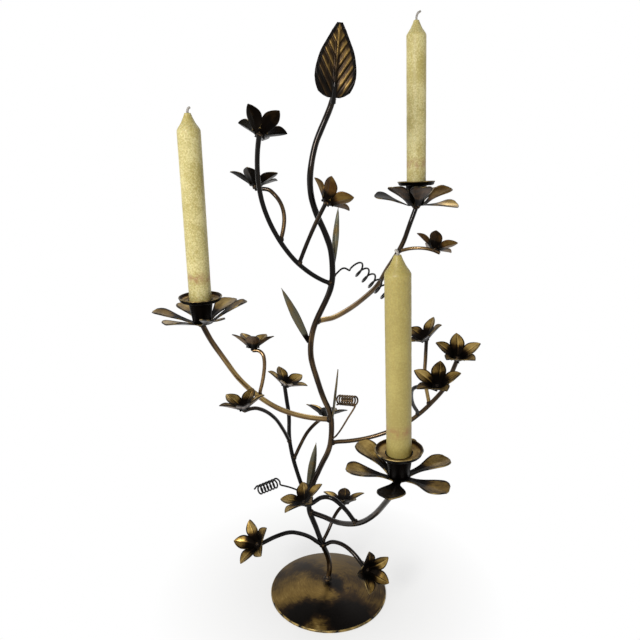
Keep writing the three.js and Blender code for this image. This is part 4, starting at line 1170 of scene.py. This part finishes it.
class CANDELABRA_OT_holders(bpy.types.Operator):
    """Draws the candle sockets and the drip pans round their mouths"""

    bl_idname = "candelabra.holders"
    bl_label = "Sockets and Drip Pans"
    bl_options = {"REGISTER", "UNDO"}

    def execute(self, context):
        sizes = context.scene.candelabra_sizes
        for number, side in enumerate(HOLDERS):
            place = holder_place(side)
            mouth = self.socket(side, place, sizes.socket_wall)
            self.pan(side, place, sizes.pan_sheet, mouth, number)
        return {"FINISHED"}

    def socket(self, side, place, wall):
        """Draws a cup that widens to its rounded mouth, and gives the mouth's outer radius."""
        node = f"candle_socket_{side}"
        low, high, mouth = span_along(node, place)
        foot = reach_at(node, place, low)
        closed_middle, foot_round, lip_round = 0.05 * MM, 0.8 * MM, 0.5 * MM
        cup = [(closed_middle, low), (foot - foot_round, low), (foot, low + foot_round),
               (mouth - 0.15 * MM, high - lip_round), (mouth - 0.4 * MM, high),
               (mouth - wall + 0.2 * MM, high), (mouth - wall, high - lip_round),
               (foot - wall, low + wall), (closed_middle, low + wall)]
        skin = Skin()
        skin.turned(cup, place, 48)
        draw_piece(f"tapered_socket_{side}", skin, ["dark_petal_back"], [node])
        return mouth

    def pan(self, side, place, sheet, mouth, seed):
        """Draws a pan with a flat floor, a bend of 3 mm, and a wall that leans out to its rolled lip."""
        node = f"drip_pan_{side}"
        low, high, rim = span_along(node, place)
        inner, floor, wall = mouth - 0.1 * MM, low + sheet, rim - sheet - 0.9 * MM
        bend, bend_height, bend_steps, around = 3 * MM, 0.55 * (high - low), 6, 72
        quarter = [math.pi / 2 * i / bend_steps for i in range(bend_steps + 1)]

        def bent(radius, height, turn):
            return radius - bend * (1 - math.sin(turn)), height + bend_height * (1 - math.cos(turn))

        face = [(inner + (wall - bend - inner) * i / 4, floor) for i in range(5)]
        face += [bent(wall, floor, turn) for turn in quarter[1:]]
        face += [(wall + 0.5 * MM, high - 0.5 * MM), (rim - sheet * 0.9, high - 0.05 * MM)]
        lip = [(rim, high - 0.8 * MM), (rim - 0.2 * MM, high - 0.25 * MM), (rim - sheet * 0.5, high)]
        back = [(inner, low)] + [bent(wall + sheet, low, turn) for turn in quarter]
        back += [(rim - 0.35 * MM, high - 1.5 * MM)]
        skin = Skin()
        dents = {"ripple": 0.25 * MM, "seed": seed}
        skin.turned(back + lip[:1], place, around, 1, **dents)
        skin.turned(lip + face[-1:], place, around, 2, **dents)
        skin.turned(face[::-1], place, around, 0, unit=12 * MM, **dents)
        draw_piece(f"spun_pan_{side}", skin, ("brushed_pan_face", "dark_petal_back", "rubbed_steel_rim"),
                   [node])


class CANDELABRA_OT_candles(bpy.types.Operator):
    """Draws the taper candles and their wicks"""

    bl_idname = "candelabra.candles"
    bl_label = "Taper Candles"
    bl_options = {"REGISTER", "UNDO"}

    def execute(self, context):
        cone = context.scene.candelabra_sizes.candle_cone
        for number, side in enumerate(HOLDERS):
            self.taper(side, holder_place(side), cone, 11 * number)
            self.wick(side)
        return {"FINISHED"}

    def taper(self, side, place, cone, seed):
        """Draws a candle whose foot is drawn in to fit its socket, with a hollowed cone at its top."""
        node = f"candle_{side}"
        low, high, wide = span_along(node, place)
        socket_low, socket_high, _ = span_along(f"candle_socket_{side}", place)
        foot, tip = reach_at(node, place, low), reach_at(node, place, high)
        closed_middle, rings = 0.05 * MM, 40
        shoulder, seat = high - cone, low + socket_high - socket_low
        body = [(wide, seat + (shoulder - 1.2 * MM - seat) * i / rings) for i in range(rings + 1)]
        top = [(tip + (wide - tip) * width, shoulder + cone * share) for share, width in CONE_SHARES]
        profile = [(closed_middle, low), (foot - 0.5 * MM, low), (foot, low + 0.5 * MM),
                   (wide - 0.1 * MM, seat - 1.5 * MM), *body, *top,
                   (tip - 0.3 * MM, high - 0.1 * MM), (tip - 0.9 * MM, high - 0.1 * MM),
                   (tip * 0.45, high - 0.5 * MM), (closed_middle, high - 0.8 * MM)]
        skin = Skin()
        skin.turned(profile, place, 64, ripple=0.12 * MM, seed=seed)
        # The front candle's wax is painted darker, as painted shade
        wax = "frosted_wax_deep" if side == "front" else "frosted_wax"
        draw_piece(f"taper_{side}", skin, [wax], [node], node)

    def wick(self, side):
        """Draws a wick, a little thicker than its node and lumpy every millimetre or so."""
        line, radius = rod_rings(f"wick_{side}")
        line = smooth_line(line, 0.5 * MM)
        radii = [radius * (1.2 + 0.15 * noise.noise(place * 900)) for place in line]
        round_off(line, radii, 0.3 * radius, 0.5 * radius)
        skin = Skin()
        skin.tube(line, radii, 12)
        draw_piece(f"braided_wick_{side}", skin, ["cotton_wick"], [f"wick_{side}"],
                   f"candle_{side}")


def rising(distance, start, width):
    """From 0 at a start to 1 over a width, in a straight line, and level beyond."""
    return min(1, max(0, distance - start) / width)


class CANDELABRA_OT_leaves(bpy.types.Operator):
    """Draws the pleated top leaf and the narrow blade leaves"""

    bl_idname = "candelabra.leaves"
    bl_label = "Leaves"
    bl_options = {"REGISTER", "UNDO"}

    def execute(self, context):
        sizes = context.scene.candelabra_sizes
        place, length, width = leaf_place("top_leaf")
        leaf = draw_piece("pleated_top_leaf", self.pleated_leaf(place, length, width, sizes),
                          sheet_finishes("top_leaf", "pleated_leaf_face"), ["top_leaf"],
                          bend=math.radians(70))
        thicken(leaf, sizes.leaf_sheet)
        self.spine(place, length, sizes)
        for node in BLADES:
            place, length, width = leaf_place(node)
            skin = self.creased_blade(place, length, width, width * sizes.blade_crease)
            blade = draw_piece(f"creased_{node}", skin, sheet_finishes(node, "green_black_blade"),
                               [node])
            thicken(blade, sizes.blade_sheet)
        return {"FINISHED"}

    def spine(self, place, length, sizes):
        """Draws the trunk's end, hammered half round, along the lower third of the top leaf."""
        rings, ring_share, clear = 17, 0.02, 0.4 * MM
        line = [place @ Vector((0, length * share, sizes.leaf_bulge * min(1, 5 * share) + clear))
                for share in (i * ring_share for i in range(rings))]
        radii = [sizes.leaf_spine * math.sqrt(1 - i / (rings + 0.5)) for i in range(rings)]
        skin = Skin()
        skin.tube(line, radii, 14, (0.15, 0.3))
        draw_piece("leaf_spine", skin, ["bronzed_steel_rod"])

    def pleated_leaf(self, place, length, width, sizes):
        """The face of the top leaf: a bulging middle, a midrib, and pleats that slant up to its edges."""
        skin, rows, shares, tones = Skin(), [], [], []
        columns, steps = 56, 130
        # A pleat climbs 1.7 for each 1 that it goes out, and fades out near the middle and the edges
        climb, calm_middle, calm_edge = 1.7, 2.5 * MM, 2 * MM
        midrib, light_line = 1.3 * MM, 0.9 * MM
        for i in range(steps + 1):
            share = i / steps
            up = sizes.leaf_tab + (length - sizes.leaf_tab) * share
            half = width * width_at(LEAF_OUTLINE, share) / 2
            row, waxed = [], []
            for c in range(columns + 1):
                across = 2 * c / columns - 1
                side = abs(across) * half
                phase = 2 * math.pi * (up - sizes.leaf_tab - climb * side) / sizes.pleat_spacing
                # Each pleat rises steeply to its crown and slopes slowly off above it
                crown = 0.5 + 0.5 * math.sin(phase + 0.7 * math.sin(phase))
                calm = (rising(side, 0, calm_middle) * rising(half - side, 0, calm_edge)
                        * min(1, 6 * share))
                bulge = sizes.leaf_bulge * min(1, 5 * share, 4 * (1 - share)) * (1 - across ** 2)
                ridge = sizes.pleat_depth * math.exp(-(side / midrib) ** 2) * min(1, 3 * (1 - share))
                height = bulge + sizes.pleat_depth * (crown - 0.5) * calm + ridge
                row.append(place @ Vector((across * half, up, height)))
                # The crowns of the pleats are painted lighter as painted highlight, and the valleys darker
                # as painted shade; the wax is light in a line up the middle, and dark along the edges
                edge = rising(half - side, 1.5 * MM, 2.5 * MM)
                body = 0.04 + 0.22 * share + 0.1 * across * (1 - 0.7 * share)
                light = (0.22 + 0.04 * across) * crown ** 2 * rising(side, 0.1 * half, 2 * MM)
                light += 0.24 * math.exp(-(side / light_line) ** 2) * min(1, max(0, 3 * share - 1))
                waxed.append((body + light) * edge - 0.12 * (1 - edge))
            rows.append(row)
            tones.append(waxed)
            shares.append(share)
        skin.grid(rows, shares, tones=tones)
        return skin

    def creased_blade(self, place, length, width, crease):
        """The face of a narrow leaf, folded along its middle."""
        steps = 24
        rows = []
        for i in range(steps + 1):
            share = i / steps
            half = width * width_at(BLADE_OUTLINE, share) / 2
            height = crease * min(1, 4 * share, 4 * (1 - share))
            rows.append([place @ Vector((across * half, share * length, height * (1 - abs(across))))
                         for across in (-1, -0.75, -0.5, -0.25, 0, 0.25, 0.5, 0.75, 1)])
        skin = Skin()
        skin.grid(rows)
        return skin


class CANDELABRA_OT_stage(bpy.types.Operator):
    """Sets up the pale floor, the soft studio lamps, the white surroundings and the camera"""

    bl_idname = "candelabra.stage"
    bl_label = "Studio"
    bl_options = {"REGISTER", "UNDO"}

    def execute(self, context):
        scene = context.scene
        low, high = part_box("base_dish")
        foot = Vector(((low.x + high.x) / 2, (low.y + high.y) / 2, 0))
        self.floor(scene, foot)
        self.surroundings(scene)
        # The lamps are aimed at the middle of the branches
        aim = foot + Vector((0, 0, 300 * MM))
        for name, (offset, size, power) in LAMPS.items():
            self.lamp(scene, name, foot + Vector(offset), aim, size, power)
        self.camera(scene, foot)
        scene.view_settings.view_transform = "Standard"
        return {"FINISHED"}

    def camera(self, scene, foot):
        """The photograph's camera, placed from the dish's middle and tilted up from straight down."""
        offset, tilt = Vector((-9.9, -640, 529.3)) * MM, math.radians(72.7)
        lens = bpy.data.cameras.new("photograph_camera")
        lens.sensor_width = 36
        lens.lens = 37.125
        camera = bpy.data.objects.new("photograph_camera", lens)
        camera.location = foot + offset
        camera.rotation_euler = (tilt, 0, 0)
        scene.collection.objects.link(camera)
        scene.camera = camera

    def floor(self, scene, foot):
        """A flat floor that pales into the white surroundings before its horizon."""
        material, tree = new_finish("matt_floor_paint")
        place = add_node(tree, "ShaderNodeTexCoord")
        away = add_node(tree, "ShaderNodeVectorMath", {0: place.outputs["Object"]}, operation="LENGTH")
        # 60% white under the dish, and all white from 200 mm on
        fade = add_node(tree, "ShaderNodeMapRange",
                        {0: away.outputs["Value"], 1: 60 * MM, 2: 200 * MM, 3: 0.6, 4: 1})
        paint = add_node(tree, "ShaderNodeBsdfDiffuse", {"Color": colour_of("floor")})
        white = add_node(tree, "ShaderNodeEmission", {"Color": (1, 1, 1, 1), "Strength": 1.0})
        mixed = add_node(tree, "ShaderNodeMixShader",
                         {0: fade.outputs[0], 1: paint.outputs[0], 2: white.outputs[0]})
        add_node(tree, "ShaderNodeOutputMaterial", {"Surface": mixed.outputs[0]})
        mesh = bpy.data.meshes.new("studio_floor")
        sides, radius = 64, 6
        turns = [2 * math.pi * k / sides for k in range(sides)]
        mesh.from_pydata([(radius * math.cos(turn), radius * math.sin(turn), 0) for turn in turns],
                         [], [list(range(sides))])
        mesh.materials.append(material)
        floor = bpy.data.objects.new("studio_floor", mesh)
        floor.location = foot
        scene.collection.objects.link(floor)

    def surroundings(self, scene):
        """Even soft light from all round, and white where the camera or a gloss sees past the piece."""
        world = bpy.data.worlds.new("white_studio")
        world.use_nodes = True
        tree = world.node_tree
        tree.nodes.clear()
        ray = add_node(tree, "ShaderNodeLightPath")
        seen = ray.outputs["Is Camera Ray"]
        for kind in ("Is Glossy Ray", "Is Transmission Ray"):
            seen = add_node(tree, "ShaderNodeMath", {0: seen, 1: ray.outputs[kind]},
                            operation="MAXIMUM").outputs[0]
        # A strength of 1 is seen as white, and 0.2 lights the piece
        strength = add_node(tree, "ShaderNodeMapRange", {0: seen, 1: 0, 2: 1, 3: 0.2, 4: 1})
        light = add_node(tree, "ShaderNodeBackground",
                         {"Color": (1, 1, 1, 1), "Strength": strength.outputs[0]})
        add_node(tree, "ShaderNodeOutputWorld", {"Surface": light.outputs[0]})
        scene.world = world

    def lamp(self, scene, name, place, aim, size, power):
        lamp = bpy.data.lights.new(name, "AREA")
        lamp.size = size
        lamp.energy = power
        holder = bpy.data.objects.new(name, lamp)
        holder.location = place
        holder.rotation_euler = (aim - place).to_track_quat("-Z", "Y").to_euler()
        scene.collection.objects.link(holder)


class CANDELABRA_PT_panel(bpy.types.Panel):
    """The candelabra's settings and pieces"""

    bl_idname = "CANDELABRA_PT_panel"
    bl_label = "Flowering Candelabra"
    bl_space_type = "VIEW_3D"
    bl_region_type = "UI"
    bl_category = "Candelabra"

    def draw(self, context):
        for label, group in (("Sizes", context.scene.candelabra_sizes),
                             ("Colours", context.scene.candelabra_colours)):
            box = self.layout.box()
            box.label(text=label)
            for name in group.__annotations__:
                box.prop(group, name)
        for operator in OPERATORS:
            self.layout.operator(operator.bl_idname)


OPERATORS = (
    CANDELABRA_OT_dish,
    CANDELABRA_OT_rods,
    CANDELABRA_OT_tendrils,
    CANDELABRA_OT_welds,
    CANDELABRA_OT_flowers,
    CANDELABRA_OT_collars,
    CANDELABRA_OT_holders,
    CANDELABRA_OT_candles,
    CANDELABRA_OT_leaves,
    CANDELABRA_OT_stage,
)
CLASSES = (CandelabraSizes, CandelabraColours, *OPERATORS, CANDELABRA_PT_panel)


def register():
    for made in CLASSES:
        bpy.utils.register_class(made)
    bpy.types.Scene.candelabra_sizes = bpy.props.PointerProperty(type=CandelabraSizes)
    bpy.types.Scene.candelabra_colours = bpy.props.PointerProperty(type=CandelabraColours)


def unregister():
    del bpy.types.Scene.candelabra_sizes
    del bpy.types.Scene.candelabra_colours
    for made in reversed(CLASSES):
        bpy.utils.unregister_class(made)


def main():
    register()
    bpy.ops.candelabra.dish()
    bpy.ops.candelabra.rods()
    bpy.ops.candelabra.tendrils()
    bpy.ops.candelabra.welds()
    bpy.ops.candelabra.flowers()
    bpy.ops.candelabra.collars()
    bpy.ops.candelabra.holders()
    bpy.ops.candelabra.candles()
    bpy.ops.candelabra.leaves()
    bpy.ops.candelabra.stage()


if __name__ == "__main__":
    main()
